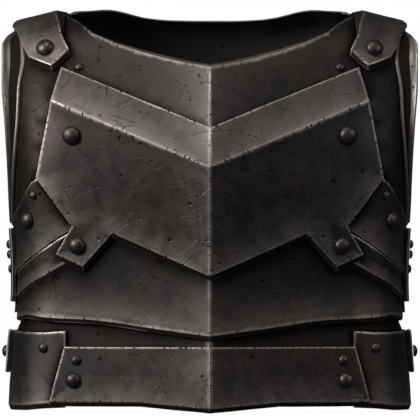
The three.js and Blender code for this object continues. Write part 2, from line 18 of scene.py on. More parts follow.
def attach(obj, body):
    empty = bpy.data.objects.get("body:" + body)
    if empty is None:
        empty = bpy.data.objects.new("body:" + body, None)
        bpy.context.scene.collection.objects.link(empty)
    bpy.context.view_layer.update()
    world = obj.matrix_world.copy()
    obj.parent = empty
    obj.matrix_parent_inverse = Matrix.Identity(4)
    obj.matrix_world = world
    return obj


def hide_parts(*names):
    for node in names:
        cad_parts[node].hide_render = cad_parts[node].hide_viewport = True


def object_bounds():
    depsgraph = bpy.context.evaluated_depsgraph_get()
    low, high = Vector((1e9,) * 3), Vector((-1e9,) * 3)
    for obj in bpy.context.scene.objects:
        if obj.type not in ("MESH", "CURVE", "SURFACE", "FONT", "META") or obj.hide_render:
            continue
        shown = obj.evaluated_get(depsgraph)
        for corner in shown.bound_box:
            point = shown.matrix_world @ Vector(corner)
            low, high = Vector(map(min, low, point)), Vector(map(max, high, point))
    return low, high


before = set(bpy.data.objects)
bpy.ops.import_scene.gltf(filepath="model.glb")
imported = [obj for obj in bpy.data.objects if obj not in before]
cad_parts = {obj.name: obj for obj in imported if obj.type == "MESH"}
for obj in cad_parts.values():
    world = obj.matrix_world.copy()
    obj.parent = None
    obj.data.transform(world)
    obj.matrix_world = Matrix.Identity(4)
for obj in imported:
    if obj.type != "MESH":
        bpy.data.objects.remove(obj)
cad_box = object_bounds()
MM = 0.001
print("the frame holds", len(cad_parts), "nodes")

# %% [markdown]
# ## The stake
# Every sheet follows the same body form, so that one sheet lies on the next. The form is a stack of
# level sections. Each section is flat from the keel to a bend, and rounds from there to the side.
# A place on it has two numbers: `around` is 0 at the keel, 1 at the left side and 2 at the spine, and
# `up` counts the rows. Past the last row, `up` comes down over the other face of the shoulder.

# %% The form's rows: height, half width, depth in front and depth behind, in millimetres
BODY = np.array([
    (68, 204.5, 143, 120), (99, 203, 139, 117), (130, 201.5, 136.5, 114), (165, 202, 136, 113),
    (200, 204.5, 137.5, 115), (240, 208.5, 138, 119), (280, 210.5, 132, 122), (315, 211, 120, 122),
    (345, 210, 106, 118), (370, 207.5, 91, 110), (391, 205.5, 73, 99), (404, 204, 55, 86),
    (412, 203, 35, 68), (417, 202, 15, 40), (419, 201.5, 0, 0),
])
HIPS = np.array([
    (-4, 209.3, 139, 121), (30, 207.3, 137.5, 119.5), (60, 205, 135.5, 117.5),
    (84, 203, 133.5, 115.5), (94, 199.2, 131, 113), (112, 196.5, 130, 111.5),
])
PLAIN = BODY.copy()
RIDGE = len(BODY) - 1
SET_BACK = 14.2
BEND = 0.5
ACROSS, FRONT, BACK = (0.6, 0.88, 1), (0.74, 0.62, 0.6), (0.88, 0.77, 0.6)
CREASE = dict(height=256, slope=0.425, rise=41, fall=95, stand=12, fade=(150, 200))
SHOULDER = dict(slope=0.26, start=144, fade=(330, 392))
NAPE = dict(rise=7, middle=104, wide=30, fade=(380, 408))


def row_at(form, up):
    last = len(form) - 1
    i = np.clip(np.floor(up).astype(int), 0, last - 1)
    s = (up - i)[..., None]
    a, b, c, d = (form[np.clip(i + k, 0, last)] for k in (-1, 0, 1, 2))
    from_low = (2 * s**3 - 3 * s**2 + 1) * b + (s**3 - 2 * s**2 + s) * (c - a) / 2
    return from_low + (3 * s**2 - 2 * s**3) * c + (s**3 - s**2) * (d - b) / 2


def up_at(form, height):
    ups = np.linspace(0, len(form) - 1, 4001)
    return np.interp(height, row_at(form, ups)[:, 0], ups)


def smooth(low, high, value):
    share = np.clip((value - low) / (high - low), 0, 1)
    return share * share * (3 - 2 * share)


def pulled(t, a, b, c, d):
    return (1 - t) ** 3 * a + 3 * (1 - t) ** 2 * t * b + 3 * (1 - t) * t**2 * c + t**3 * d


def across_at(t, half):
    bend, knee, side = ACROSS
    return half * np.where(t < BEND, bend * t / BEND, pulled((t - BEND) / (1 - BEND), bend, knee, side, side))


def depth_at(t, depth, shares, bow):
    bend, knee, side = shares
    flat = 1 - (1 - bend) * (np.minimum(t, BEND) / BEND) ** bow
    return depth * np.where(t < BEND, flat, pulled((t - BEND) / (1 - BEND), bend, knee, side, 0))


def crease_height(x):
    return CREASE["height"] + CREASE["slope"] * np.abs(x)


def crease_stand(x, z):
    over = z - crease_height(x)
    above = np.clip(1 - over / CREASE["rise"], 0, 1)
    below = np.clip(1 + over / CREASE["fall"], 0, 1) ** 2
    return CREASE["stand"] * np.where(over >= 0, above, below) * (1 - smooth(*CREASE["fade"], np.abs(x)))


def form_point(form, around, up):
    around = np.where(around > 2, around - 4, around)
    ridge = len(form) - 1
    over = up > ridge
    row = row_at(form, np.where(over, 2 * ridge - up, up))
    height, half, front, back = np.moveaxis(row, -1, 0)
    turned = np.abs(around) > 1
    t = np.where(turned, 2 - np.abs(around), np.abs(around))
    x = np.where(around < 0, -1, 1) * across_at(t, half)
    behind = turned != over
    y = np.where(behind, depth_at(t, back, BACK, 2), -depth_at(t, front, FRONT, 1))
    if form is HIPS:
        return np.stack([x, y, height], -1)
    fall = SHOULDER["slope"] * np.maximum(0, np.abs(x) - SHOULDER["start"])
    hump = NAPE["rise"] * np.exp(-(((np.abs(x) - NAPE["middle"]) / NAPE["wide"]) ** 2))
    nape = hump * smooth(*NAPE["fade"], height)
    z = height - fall * smooth(*SHOULDER["fade"], height) + np.where(behind, nape, 0)
    stand = crease_stand(x, z) if form is BODY else 0
    return np.stack([x, np.where(behind, y, y - stand), z], -1)


def outwards(form, around, up):
    step = 1e-3
    side = form_point(form, around + step, up) - form_point(form, around - step, up)
    climb = form_point(form, around, up + step) - form_point(form, around, up - step)
    normal = np.cross(side, climb)
    return normal / np.linalg.norm(normal, axis=-1, keepdims=True)


def standing(form, around, up, offset):
    """Points that stand `offset` off the form; on the keel the sheet's corner stays sharp."""
    keel = np.abs(around) < 1e-4
    normal = outwards(form, np.where(keel, 0.004, around), up)
    across = np.where(keel, 0, normal[..., 0])
    flat = 1 - np.where(keel, normal[..., 0], 0) ** 2
    normal = np.stack([across, normal[..., 1], normal[..., 2]], -1) / flat[..., None]
    return form_point(form, around, up) + normal * np.asarray(offset)[..., None]


def locate(form, first, wanted, z, offset, start, over=False, turns=24):
    """Where on a form an offset surface has the wanted x (first=0) or y (first=1) and height z."""
    wanted, z = np.asarray(wanted, float), np.asarray(z, float)
    around, up = np.broadcast_to(start, wanted.shape).astype(float), up_at(form, z)
    if over:
        up = 2 * RIDGE - up
    step = 1e-3
    for _ in range(turns):
        here = standing(form, around, up, offset)
        slope = (standing(form, around + step, up, offset)[..., first] - here[..., first]) / step
        climb = (standing(form, around, up + step, offset)[..., 2] - here[..., 2]) / step
        around = around + np.clip((wanted - here[..., first]) / slope, -0.1, 0.1)
        up = up + np.clip((z - here[..., 2]) / climb, -0.5, 0.5)
    return around, up


print("the form is", 2 * BODY[:, 1].max(), "mm wide and", BODY[:, 0].max(), "mm high")

# %% [markdown]
# ## Flat patterns
# A pattern is drawn flat in the plane of X and Z. For a plate seen from the front, its X and Z are the
# ones that the finished edge will have. For a sheet that runs round the side, X is the way round.
# `GIRTH` turns a step of `around` into millimetres, so that the pattern's cells stay square.

# %% From flat to bent
GIRTH = 262.0
PATH_AROUND = 0.62
PATH_UPS = np.linspace(0, 2 * RIDGE, 1601)


def path_of_body():
    """The length of the body form from its lowest row to each `up`, over the shoulder and down behind."""
    points = form_point(BODY, np.full(PATH_UPS.shape, PATH_AROUND), PATH_UPS)
    steps = np.linalg.norm(np.diff(points, axis=0), axis=1)
    return np.concatenate([[0], np.cumsum(steps)]) + BODY[0, 0]


PATH = path_of_body()


def bend_front(form, outer, behind=False):
    """A bend for a plate whose pattern shows it from the front.

    The crease is added last, so that it stays sharp.
    """
    plain = PLAIN if form is BODY else form

    def bend(flat):
        x, depth, z = flat.T
        side = np.where(x < 0, -1.0, 1.0)
        start = 1.5 if behind else 0.4
        around, up = locate(plain, 0, np.abs(x), z, np.full(x.shape, outer), start)
        around = np.where(np.abs(x) < 1e-4, 2.0 if behind else 0.0, around)
        points = standing(plain, around, up, outer - depth)
        points[:, 0] *= side
        if form is BODY:
            points[:, 1] -= crease_stand(x, z)
        return points
    return bend


def bend_round(form, outer, centre=0):
    """A bend for a sheet whose pattern gives the way round from the middle of the piece, and the way up."""
    def bend(flat):
        around = centre + flat[:, 0] / GIRTH
        up = np.interp(flat[:, 2], PATH, PATH_UPS) if form is BODY else up_at(form, flat[:, 2])
        return standing(form, around, up, outer - flat[:, 1])
    return bend


def on_pattern(form, first, wanted, z, offset, start, over=False):
    """The pattern place (way round, way up) of a point given by its real x or y and its height."""
    around, up = locate(form, first, wanted, z, offset, start, over)
    way_up = np.interp(up, PATH_UPS, PATH) if form is BODY else row_at(form, up)[..., 0]
    return float(around) * GIRTH, float(way_up)


print("the body form is", round(PATH[-1] - PATH[0]), "mm long from hem to hem over the shoulder")

# %% [markdown]
# ## Working at the bench
# These helpers are the bench tools. Each one acts on one selected object, because an operator acts on
# everything that is selected. Edges are picked by their place, with a small test on their two ends.

# %% Selecting, editing and reading a piece
PARTS = ("face", "rim", "edge", "inside", "mark")
FACE, RIM, EDGE, INSIDE, MARK = range(5)


def clear_selection():
    for other in bpy.context.selected_objects:
        other.select_set(False)


def alone(piece):
    clear_selection()
    piece.select_set(True)
    bpy.context.view_layer.objects.active = piece
    return piece


def edit(piece):
    alone(piece)
    bpy.ops.object.mode_set(mode="EDIT")
    return bmesh.from_edit_mesh(piece.data)


def leave(piece):
    bpy.ops.object.mode_set(mode="OBJECT")
    return piece


def pick(piece, kind, test):
    """Selects in edit mode the vertices or edges that pass a test on their places in millimetres."""
    mesh = bmesh.from_edit_mesh(piece.data)
    bpy.ops.mesh.select_mode(type="EDGE" if kind == "edge" else "VERT")
    bpy.ops.mesh.select_all(action="DESELECT")
    if kind == "edge":
        for e in mesh.edges:
            e.select_set(all(test(v.co / MM) for v in e.verts))
    else:
        for v in mesh.verts:
            v.select_set(bool(test(v.co / MM)))
    mesh.select_flush(True)
    bmesh.update_edit_mesh(piece.data)


def modify(piece, kind, **settings):
    """Adds a modifier with its settings, and applies it."""
    alone(piece)
    modifier = piece.modifiers.new(kind.title(), kind)
    for name, value in settings.items():
        setattr(modifier, name, value)
    bpy.ops.object.modifier_apply(modifier=modifier.name)
    return piece


def read_points(piece):
    flat = np.empty(len(piece.data.vertices) * 3)
    piece.data.vertices.foreach_get("co", flat)
    return flat.reshape(-1, 3) / MM


def write_points(piece, points):
    piece.data.vertices.foreach_set("co", (np.asarray(points) * MM).ravel())
    piece.data.update()


print("the faces of a piece are sorted as", PARTS)

# %% [markdown]
# ## Cutting a sheet flat
# A smith draws the outline on a flat sheet and cuts it out. Here a sheet starts as a grid of a few quads
# whose corners are moved to the pattern's. A grid is used and not a face drawn point by point, because its
# rows and columns later become folds and edges. What sticks out, such as a tab, is extruded from an edge,
# and one half is enough for a piece that is the same on both sides.

# %% Cages, tabs and halves
def cage(name, rows):
    """A flat cage of quads: rows of [x, z] corners from the lowest row up."""
    clear_selection()
    columns, count = len(rows[0]), len(rows)
    bpy.ops.mesh.primitive_grid_add(
        x_subdivisions=columns - 1, y_subdivisions=count - 1, size=1, rotation=(math.pi / 2, 0, 0))
    piece = bpy.context.object
    piece.name = piece.data.name = "forged_" + name
    bpy.ops.object.transform_apply(location=True, rotation=True, scale=True)
    found = read_points(piece)
    order = np.lexsort((found[:, 0].round(3), found[:, 2].round(3)))
    placed = np.zeros_like(found)
    placed[order] = [(x, 0, z) for row in rows for x, z in row]
    write_points(piece, placed)
    for part in PARTS:
        piece.data.materials.append(bpy.data.materials.get(part) or bpy.data.materials.new(part))
    return piece


def near(place, x, z, reach=0.2):
    return abs(place.x - x) < reach and abs(place.z - z) < reach


def extrude_edge(piece, corners, to):
    """Extrudes the edge between two corners, and moves its new ends to the places in `to`."""
    edit(piece)
    pick(piece, "edge", lambda v: any(near(v, *corner) for corner in corners))
    bpy.ops.mesh.extrude_region_move()
    mesh = bmesh.from_edit_mesh(piece.data)
    for vert in [v for v in mesh.verts if v.select]:
        for corner, (x, z) in zip(corners, to):
            if near(vert.co / MM, *corner):
                vert.co = Vector((x, 0, z)) * MM
                break
    bmesh.update_edit_mesh(piece.data)
    return leave(piece)


def subdivide(piece, cuts):
    edit(piece)
    bpy.ops.mesh.select_all(action="SELECT")
    bpy.ops.mesh.subdivide(number_cuts=cuts)
    return leave(piece)


def mirror(piece):
    return modify(piece, "MIRROR", merge_threshold=0.02 * MM)


print("a cage becomes a sheet by extruding, mirroring and subdividing it")

# %% [markdown]
# ## Folds, thickness and filed edges
# A fold is a line of edges that a bevel splits into a narrow strip, so that it catches light like a filed
# ridge. Solidify gives the sheet its thickness inwards, and marks its sawn rim and its inside. The foot of a
# plate slants, so that some of its thickness shows from the front. Last, every sharp edge is filed by a
# bevel. Only then is the sheet hammered over the stake, which moves its points and adds none.

# %% Folds, thickness, feet and edges
def fold_line(piece, test, width):
    """Splits a line of edges into a narrow strip, which becomes a filed ridge when the plate is bent."""
    edit(piece)
    pick(piece, "edge", test)
    bpy.ops.mesh.bevel(offset=width * MM, segments=2, affect="EDGES", material=EDGE)
    return leave(piece)


def thicken(piece, thick):
    return modify(piece, "SOLIDIFY", thickness=thick * MM, offset=-1.0, use_even_offset=True,
                  material_offset=INSIDE, material_offset_rim=RIM)


def foot(piece, test, drop, thick, aside=0):
    """Moves the inner corners of some edges down or aside, so that the sheet's thickness shows there."""
    edit(piece)
    pick(piece, "vert", lambda v: v.y > thick - 0.01 and test(v))
    bpy.ops.transform.translate(value=(-aside * MM, 0, -drop * MM))
    return leave(piece)


def file_edges(piece, width, angle=24):
    return modify(piece, "BEVEL", width=width * MM, segments=2, limit_method="ANGLE",
                  angle_limit=math.radians(angle), material=EDGE, use_clamp_overlap=True, loop_slide=True)


def hammer(piece, bend):
    write_points(piece, bend(read_points(piece)) + (0, SET_BACK, 0))
    return piece


print("a filed edge is a strip of two faces on every corner of more than 24 degrees")

# %% [markdown]
# ## Marks of use
# Worn armour has nicks along its edges, short dashes and pits on its faces, and a few hairline cracks. They
# could be painted, but a real cut breaks the outline and has a dark side and a bright one. So each mark is a
# small cutter, and one Boolean takes all of a piece's marks out of its flat sheet. Their places are random,
# from a seed that each piece has for itself, and each kind of mark has its own range of sizes.

# %% Two chisels, and the sizes of marks
# half length, half width and depth, each from and to, in millimetres
MARK_SIZES = {
    "cut": ((1.8, 4.6), (0.35, 0.7), (0.9, 1.6)),
    "chip": ((0.8, 1.9), (0.7, 1.6), (0.6, 1.1)),
    "dash": ((0.9, 2.6), (0.3, 0.6), (0.5, 0.9)),
    "pit": ((0.5, 1.0), (0.4, 0.9), (0.4, 0.8)),
}
BLUNT = ("chip", "pit")
CUTS_SHARE, DASHES_SHARE = 0.62, 0.5


def mark_size(kind, rng):
    return tuple(rng.uniform(*span) for span in MARK_SIZES[kind]) + (kind in BLUNT,)


def chisels():
    """Two cutters of 1 mm: a thin one that tapers to its ends, and a blunt chip."""
    thin = dict(vertices=4, radius1=MM, radius2=0, depth=MM)
    blunt = dict(subdivisions=1, radius=MM)
    shapes = []
    for add, settings in ((bpy.ops.mesh.primitive_cone_add, thin),
                          (bpy.ops.mesh.primitive_ico_sphere_add, blunt)):
        clear_selection()
        add(**settings)
        shapes.append(bpy.context.object)
    write_points(shapes[0], read_points(shapes[0]) + (0, 0, 0.5))
    return shapes


print("kinds of marks:", list(MARK_SIZES))

# %% Where the marks go
def edge_marks(piece, count, rng, apart=5.0):
    """Cuts and chips across the filed strips, none closer than `apart` to another.

    A mark is (x, z, turn, half length, half width, depth, blunt).
    """
    strips = [p for p in piece.data.polygons if p.material_index == EDGE and p.center.y < 1.3 * MM]
    points = piece.data.vertices
    spans = []
    for strip in strips:
        runs = [points[b].co - points[a].co for a, b in strip.edge_keys]
        spans.append(max(runs, key=lambda run: run.length))
    weights = [span.length for span in spans]
    marks = []
    for _ in range(count):
        index = rng.choices(range(len(strips)), weights)[0]
        place, run = strips[index].center / MM, spans[index]
        if any(math.hypot(place.x - mark[0], place.z - mark[1]) < apart for mark in marks):
            continue
        turn = math.atan2(run.z, run.x) + math.pi / 2 + rng.uniform(-0.6, 0.6)
        kind = "cut" if rng.random() < CUTS_SHARE else "chip"
        marks.append((place.x, place.z, turn, *mark_size(kind, rng)))
    return marks


def face_marks(piece, count, rng):
    """Short dashes and small pits all over the outer face."""
    faces = [p for p in piece.data.polygons if p.material_index == FACE and p.center.y < 0.5 * MM]
    weights = [p.area for p in faces]
    marks = []
    for _ in range(count):
        place = rng.choices(faces, weights)[0].center / MM
        x, z = place.x + rng.uniform(-2, 2), place.z + rng.uniform(-2, 2)
        size = mark_size("dash" if rng.random() < DASHES_SHARE else "pit", rng)
        marks.append((x, z, rng.uniform(0, math.pi), *size))
    return marks


def wander(x, z, turn, steps, rng):
    """The corners of a crack that starts at a place and wanders off in short steps."""
    line = [(x, z)]
    for _ in range(steps):
        length = rng.uniform(3.5, 8)
        turn += rng.uniform(-0.9, 0.9)
        x, z = x + length * math.cos(turn), z + length * math.sin(turn)
        line.append((x, z))
    return line


def crack_marks(lines, wide=0.42, deep=0.9):
    marks = []
    for line in lines:
        for (ax, az), (bx, bz) in zip(line, line[1:]):
            half = math.hypot(bx - ax, bz - az) / 2 + 0.5
            turn = math.atan2(bz - az, bx - ax)
            marks.append(((ax + bx) / 2, (az + bz) / 2, turn, half, wide, deep, False))
    return marks


print("edge marks stand apart from each other, and face marks lie anywhere on the face")

# %% Cutting the marks
CHISEL_LIFT = 0.08


def chisel(piece, marks):
    """Cuts marks into the outer face of a flat piece, all in one go."""
    shapes = chisels()
    tool = bmesh.new()
    stand_up = Matrix(((1, 0, 0, 0), (0, 0, 1, 0), (0, -1, 0, 0), (0, 0, 0, 1)))
    for x, z, turn, long, wide, deep, blunt in marks:
        before = len(tool.verts)
        tool.from_mesh(shapes[blunt].data)
        tool.verts.ensure_lookup_table()
        place = Matrix.Translation(Vector((x, -CHISEL_LIFT, z)) * MM) @ Matrix.Rotation(-turn, 4, "Y")
        sized = place @ stand_up @ Matrix.Diagonal((long, wide, deep, 1))
        bmesh.ops.transform(tool, matrix=sized, verts=tool.verts[before:])
    mesh = bpy.data.meshes.new("marks")
    tool.to_mesh(mesh)
    tool.free()
    cutter = bpy.data.objects.new("marks", mesh)
    bpy.context.scene.collection.objects.link(cutter)
    for material in piece.data.materials:
        mesh.materials.append(material)
    mesh.polygons.foreach_set("material_index", [MARK] * len(mesh.polygons))
    before = len(piece.data.polygons)
    modify(piece, "BOOLEAN", operation="DIFFERENCE", object=cutter, solver="MANIFOLD", material_mode="INDEX")
    print(piece.name, "has", len(marks), "marks:", before, "to", len(piece.data.polygons), "faces")
    for spent in (cutter, *shapes):
        bpy.data.objects.remove(spent)
    return piece


def wear_marks(piece, seed, edges, faces, cracks=()):
    """The usual marks of one piece: `edges` tries along its edges, `faces` marks on its face, and cracks.

    A crack is (x, z, turn, steps): where it starts, its first direction and its number of steps.
    """
    rng = random.Random(seed)
    marks = edge_marks(piece, edges, rng) + face_marks(piece, faces, rng)
    lines = [wander(*crack, rng) for crack in cracks]
    return chisel(piece, marks + crack_marks(lines))


print("the chisels stand", CHISEL_LIFT, "mm out of the sheet, so that no cut starts on its face")

# %% [markdown]
# ## Dents, and the other side of a pair
# Hammer work is never quite even. A Displace modifier with soft clouds moves the sheet a little in and out,
# which bends the reflections as real dents do. It is used and not a bump, so that the outline has it too.
# A piece that the armour has on both sides is modelled once, and its copy is reflected.

# %% Dents and reflected copies
def dent(piece, amount=0.5, size=38.0):
    """Uneven hammer work: the sheet stands a little in and out in soft clouds."""
    clouds = bpy.data.textures.get("hammer clouds") or bpy.data.textures.new("hammer clouds", "CLOUDS")
    clouds.noise_scale, clouds.noise_depth = size * MM, 1
    return modify(piece, "DISPLACE", texture=clouds, texture_coords="LOCAL", strength=2 * amount * MM,
                  mid_level=0.5)


def reflected(piece, name):
    """A copy with its own mesh on the wearer's other side."""
    other = piece.copy()
    other.data = piece.data.copy()
    other.name = other.data.name = "forged_" + name
    bpy.context.scene.collection.objects.link(other)
    points = read_points(other)
    points[:, 0] *= -1
    write_points(other, points)
    other.data.flip_normals()
    return other


pieces = {}
print("pieces so far:", len(pieces))

# %% [markdown]
# ## Cages of the plates
# A cage has a row of corners for each line of the plate: its lower edge, its folds and its upper edge.
# Everything between is made by subdividing, so that folds and edges always lie on the mesh.

# %% The chest plate, with the two riveted tabs at its lower corners
SHEET = dict(shell=2, flank=2.6, flank_band=2, chest=4, strap=5, band=2, hip=3, belt=3.6, clasp=4.5, lug=5)
GAP = 0.3
OVER_FLANK = SHEET["flank"] + 2 * GAP
OVER_HIP = SHEET["hip"] + 2 * GAP
CHEST_NOTCH, CHEST_CORNER = (101.2, 188.0), (143.6, 194.5)
CHEST_TAB = [(132.2, 153.4), (160.4, 165.9)]


def crease_at(x):
    return x, float(crease_height(x))


def chest_plate():
    rows = [
        [(0, 143.1), (52, 166.1), CHEST_NOTCH, CHEST_CORNER],
        [(0, 200), (56, 212), (116, 228), (181.5, 245.5)],
        [crease_at(0), crease_at(56), crease_at(112), crease_at(166)],
        [(0, 297.5), (54, 319.8), (108, 342), (155.4, 361.5)],
    ]
    piece = cage("chest_plate", rows)
    extrude_edge(piece, [CHEST_NOTCH, CHEST_CORNER], CHEST_TAB)
    mirror(piece)
    subdivide(piece, 11)
    fold_line(piece, lambda v: abs(v.x) < 0.05, 1.0)
    fold_line(piece, lambda v: abs(v.z - float(crease_height(v.x))) < 0.3 and abs(v.x) < 166, 0.55)
    thicken(piece, SHEET["chest"])
    foot(piece, lambda v: v.z < 196 and lower_chest(v), 5.5, SHEET["chest"])
    return piece


def lower_chest(v):
    """Whether a place lies on one of the chest plate's lower edges."""
    line = [(0, 143.1), CHEST_NOTCH, CHEST_TAB[0], CHEST_TAB[1]]
    return on_line(abs(v.x), v.z, line)


def on_line(x, z, line, reach=0.15):
    for (ax, az), (bx, bz) in zip(line, line[1:]):
        length = math.hypot(bx - ax, bz - az)
        along = ((x - ax) * (bx - ax) + (z - az) * (bz - az)) / length
        aside = abs((x - ax) * (bz - az) - (z - az) * (bx - ax)) / length
        if -reach <= along <= length + reach and aside < reach:
            return True
    return False


chest = chest_plate()
file_edges(chest, 0.8)
wear_marks(chest, 1, edges=150, faces=95, cracks=[
    (-92, 281, 0.3, 3), (-60, 322, -1.2, 3), (-3, 262, 2.6, 3), (-3, 224, 2.9, 3), (-2, 182, 3.0, 2),
    (38, 290, -0.9, 3), (52, 300, -1.3, 3), (88, 252, -0.6, 4), (-118, 226, -0.9, 4), (-70, 196, 0.2, 4),
    (120, 210, 2.4, 4), (4, 300, 0.3, 2), (-142, 300, 0.4, 2), (60, 200, 0.6, 4)])
hammer(chest, bend_front(BODY, OVER_FLANK + SHEET["chest"]))
dent(chest)
pieces["chest_plate"] = chest
print("chest plate:", len(chest.data.polygons), "faces")

# %% [markdown]
# ## The two keeled shells
# The shells are the armour's own walls. Each is one sheet from its hem to the shoulder, open at the neck and
# at the arms. It could be cut out of the body form by a Boolean, but then its edges would cross the mesh. So
# its pattern ends where the neckline and the hem cross the form, found for each column, and its neck is
# rolled inwards in small steps, as a smith rolls a rim over a wire so that it doesn't cut the throat.

# %% The neckline and the hem
NECK = dict(half=146, keel=360.4, turn=115, turn_height=380, top=414, back=72)
NECK_SIDE = 0.59
ROLL_REACH = 0.586 * GIRTH
BACK_HEM = 97.0
HEM = [(0, 79), (73, 89), (110, 95), (155, 97), (184, 99), (191, 101), (215, 94)]
SHELL_COLUMNS = [0, 0.1, 0.2, 0.3, 0.4, 0.5, 0.585, 0.6, 0.7, 0.8, 0.9, 0.997]
SHELL_ROWS = 5


def neck_height(x):
    """The front neckline's height: one curve with one turning point."""
    t = np.linspace(0, 1, 200)
    across = 2 * t * (1 - t) * NECK["turn"] + t**2 * NECK["half"]
    climb = (1 - t) ** 2 * NECK["keel"] + 2 * t * (1 - t) * NECK["turn_height"] + t**2 * NECK["top"]
    return float(np.interp(x, across, climb))


def front_place(around, height_at):
    """The pattern place in the column `around` whose real height is given by its real x."""
    ups = np.linspace(0, RIDGE, 1500)
    points = form_point(BODY, np.full(ups.shape, around), ups)
    wanted = np.array([height_at(abs(x)) for x in points[:, 0]])
    over = np.nonzero(points[:, 2] >= wanted)[0]
    up = ups[over[0]] if len(over) else ups[-1]
    return float(np.interp(up, PATH_UPS, PATH))


def shell_piece(name, columns, low, high):
    shares = np.linspace(0, 1, SHELL_ROWS + 1)
    rows = [[(a * GIRTH, l + (h - l) * s) for a, l, h in zip(columns, low, high)] for s in shares]
    piece = mirror(cage(name, rows))
    return subdivide(piece, 7)


def roll_rim(piece, reach, steps):
    """Turns the upper boundary inwards in small steps of (up, in), so that the opening has a round rim."""
    edit(piece)
    bpy.ops.mesh.select_mode(type="EDGE")
    bpy.ops.mesh.select_all(action="DESELECT")
    mesh = bmesh.from_edit_mesh(piece.data)
    for e in mesh.edges:
        middle = (e.verts[0].co + e.verts[1].co) / 2 / MM
        level = abs(e.verts[0].co.x - e.verts[1].co.x) > 0.2 * MM
        e.select_set(e.is_boundary and level and abs(middle.x) < reach and middle.z > 300)
    bmesh.update_edit_mesh(piece.data)
    for number, (rise, inward) in enumerate(steps):
        bpy.ops.mesh.extrude_region_move()
        bpy.ops.transform.translate(value=(0, inward * MM, rise * MM))
        if number == 0:
            mesh = bmesh.from_edit_mesh(piece.data)
            for face in mesh.faces:
                if sum(v.select for v in face.verts) == 2:
                    face.material_index = EDGE
            bmesh.update_edit_mesh(piece.data)
    return leave(piece)


RIDGE_PATH = float(np.interp(RIDGE, PATH_UPS, PATH))
print("the shoulder's ridge is", round(RIDGE_PATH), "mm along the form")

# %% The breast shell
def breast_shell():
    hem_x, hem_z = zip(*HEM)
    low = [front_place(a, lambda x: np.interp(x, hem_x, hem_z) + 2) for a in SHELL_COLUMNS]
    high = [front_place(a, neck_height) if a < NECK_SIDE else RIDGE_PATH - 0.5 for a in SHELL_COLUMNS]
    piece = shell_piece("breast_shell", SHELL_COLUMNS, low, high)
    fold_line(piece, lambda v: abs(v.x) < 0.05, 1.0)
    roll_rim(piece, ROLL_REACH, [(1.0, 0.3), (1.9, 1.6), (2.1, 1.6), (1.4, 1.8), (0.4, 2.2)])
    thicken(piece, SHEET["shell"])
    foot(piece, lambda v: v.z < 115, 4, SHEET["shell"])
    file_edges(piece, 0.7)
    wear_marks(piece, 2, edges=190, faces=150, cracks=neck_cracks())
    return dent(hammer(piece, bend_round(BODY, 0)))


def neck_cracks():
    """Where cracks start in the breast shell, as (x, height, turn, steps) in the pattern's own places."""
    starts = [
        (-24, 338, -0.9, 3), (-40, 352, -0.5, 4), (-2, 350, 2.9, 1), (22, 335, 0.9, 4), (-70, 128, 0.5, 4),
        (-30, 112, 1.2, 3), (36, 120, 0.8, 4), (-168, 118, 1.9, 6), (80, 135, 2.2, 4), (-120, 348, -1.0, 3)]
    cracks = []
    for x, z, turn, steps in starts:
        way_round, way_up = on_pattern(BODY, 0, abs(x), z, 0, 0.3)
        cracks.append((way_round * math.copysign(1, x), way_up, turn, steps))
    return cracks


print("the breast shell has", len(neck_cracks()), "cracks")

# %% The back shell
def back_place(around):
    """The pattern place in a column of the back where the oval neckline crosses it."""
    ups = np.linspace(0, RIDGE, 1500)
    x, y, _ = form_point(BODY, np.full(ups.shape, 2 - around), ups).T
    inside = np.nonzero((x / NECK["half"]) ** 2 + (y / NECK["back"]) ** 2 <= 1)[0]
    up = ups[inside[0]] if len(inside) else ups[-1]
    return float(np.interp(up, PATH_UPS, PATH))


def back_shell():
    low = [BACK_HEM] * len(SHELL_COLUMNS)
    high = [back_place(a) if a < NECK_SIDE else RIDGE_PATH - 0.5 for a in SHELL_COLUMNS]
    piece = shell_piece("back_shell", SHELL_COLUMNS, low, high)
    roll_rim(piece, ROLL_REACH, [(1.6, -0.6), (1.4, 0.4), (0.5, 1.4)])
    thicken(piece, SHEET["shell"])
    file_edges(piece, 0.7)
    wear_marks(piece, 3, edges=80, faces=120)
    return dent(hammer(piece, bend_round(BODY, 0, centre=2)))


print("the back shell's hem is", BACK_HEM, "mm along the form")

# %% [markdown]
# ## Armholes
# The arms come out through two tall ovals, narrower towards the shoulder. A real one is sawn out after the
# sheet is bent. Here a plug with the oval's outline is taken out of each bent shell, because the hole runs
# across the seam of both shells, and one plug gives them the same edge.

# %% The armholes, cut through both shells
ARMHOLE = dict(y=1, z=299, half=57, tall=99.5, taper=0.1)
PLUG = dict(middle=190, length=120)


def armhole_cutter(side):
    """A plug through the armhole: a cylinder whose rim is moved to the armhole's outline."""
    clear_selection()
    bpy.ops.mesh.primitive_cylinder_add(vertices=72, radius=1, depth=1, rotation=(0, math.pi / 2, 0))
    plug = bpy.context.object
    bpy.ops.object.transform_apply(location=True, rotation=True, scale=True)
    points = read_points(plug) * MM
    angles = np.arctan2(points[:, 2], points[:, 1])
    y, z = armhole_at(angles, 0)
    x = side * (PLUG["middle"] + PLUG["length"] * points[:, 0])
    write_points(plug, np.stack([x, y + SET_BACK, z], -1))
    if side < 0:
        plug.data.flip_normals()
    return plug


def armhole_at(angle, grow):
    """The armhole's edge, narrower towards the shoulder, `grow` outside its outline."""
    narrow = 1 - ARMHOLE["taper"] * np.maximum(0, np.sin(angle))
    y = ARMHOLE["y"] + (ARMHOLE["half"] * narrow + grow) * np.cos(angle)
    return y, ARMHOLE["z"] + (ARMHOLE["tall"] + grow) * np.sin(angle)


def cut(piece, cutter):
    modify(piece, "BOOLEAN", operation="DIFFERENCE", object=cutter, solver="MANIFOLD")
    bpy.data.objects.remove(cutter)
    return piece


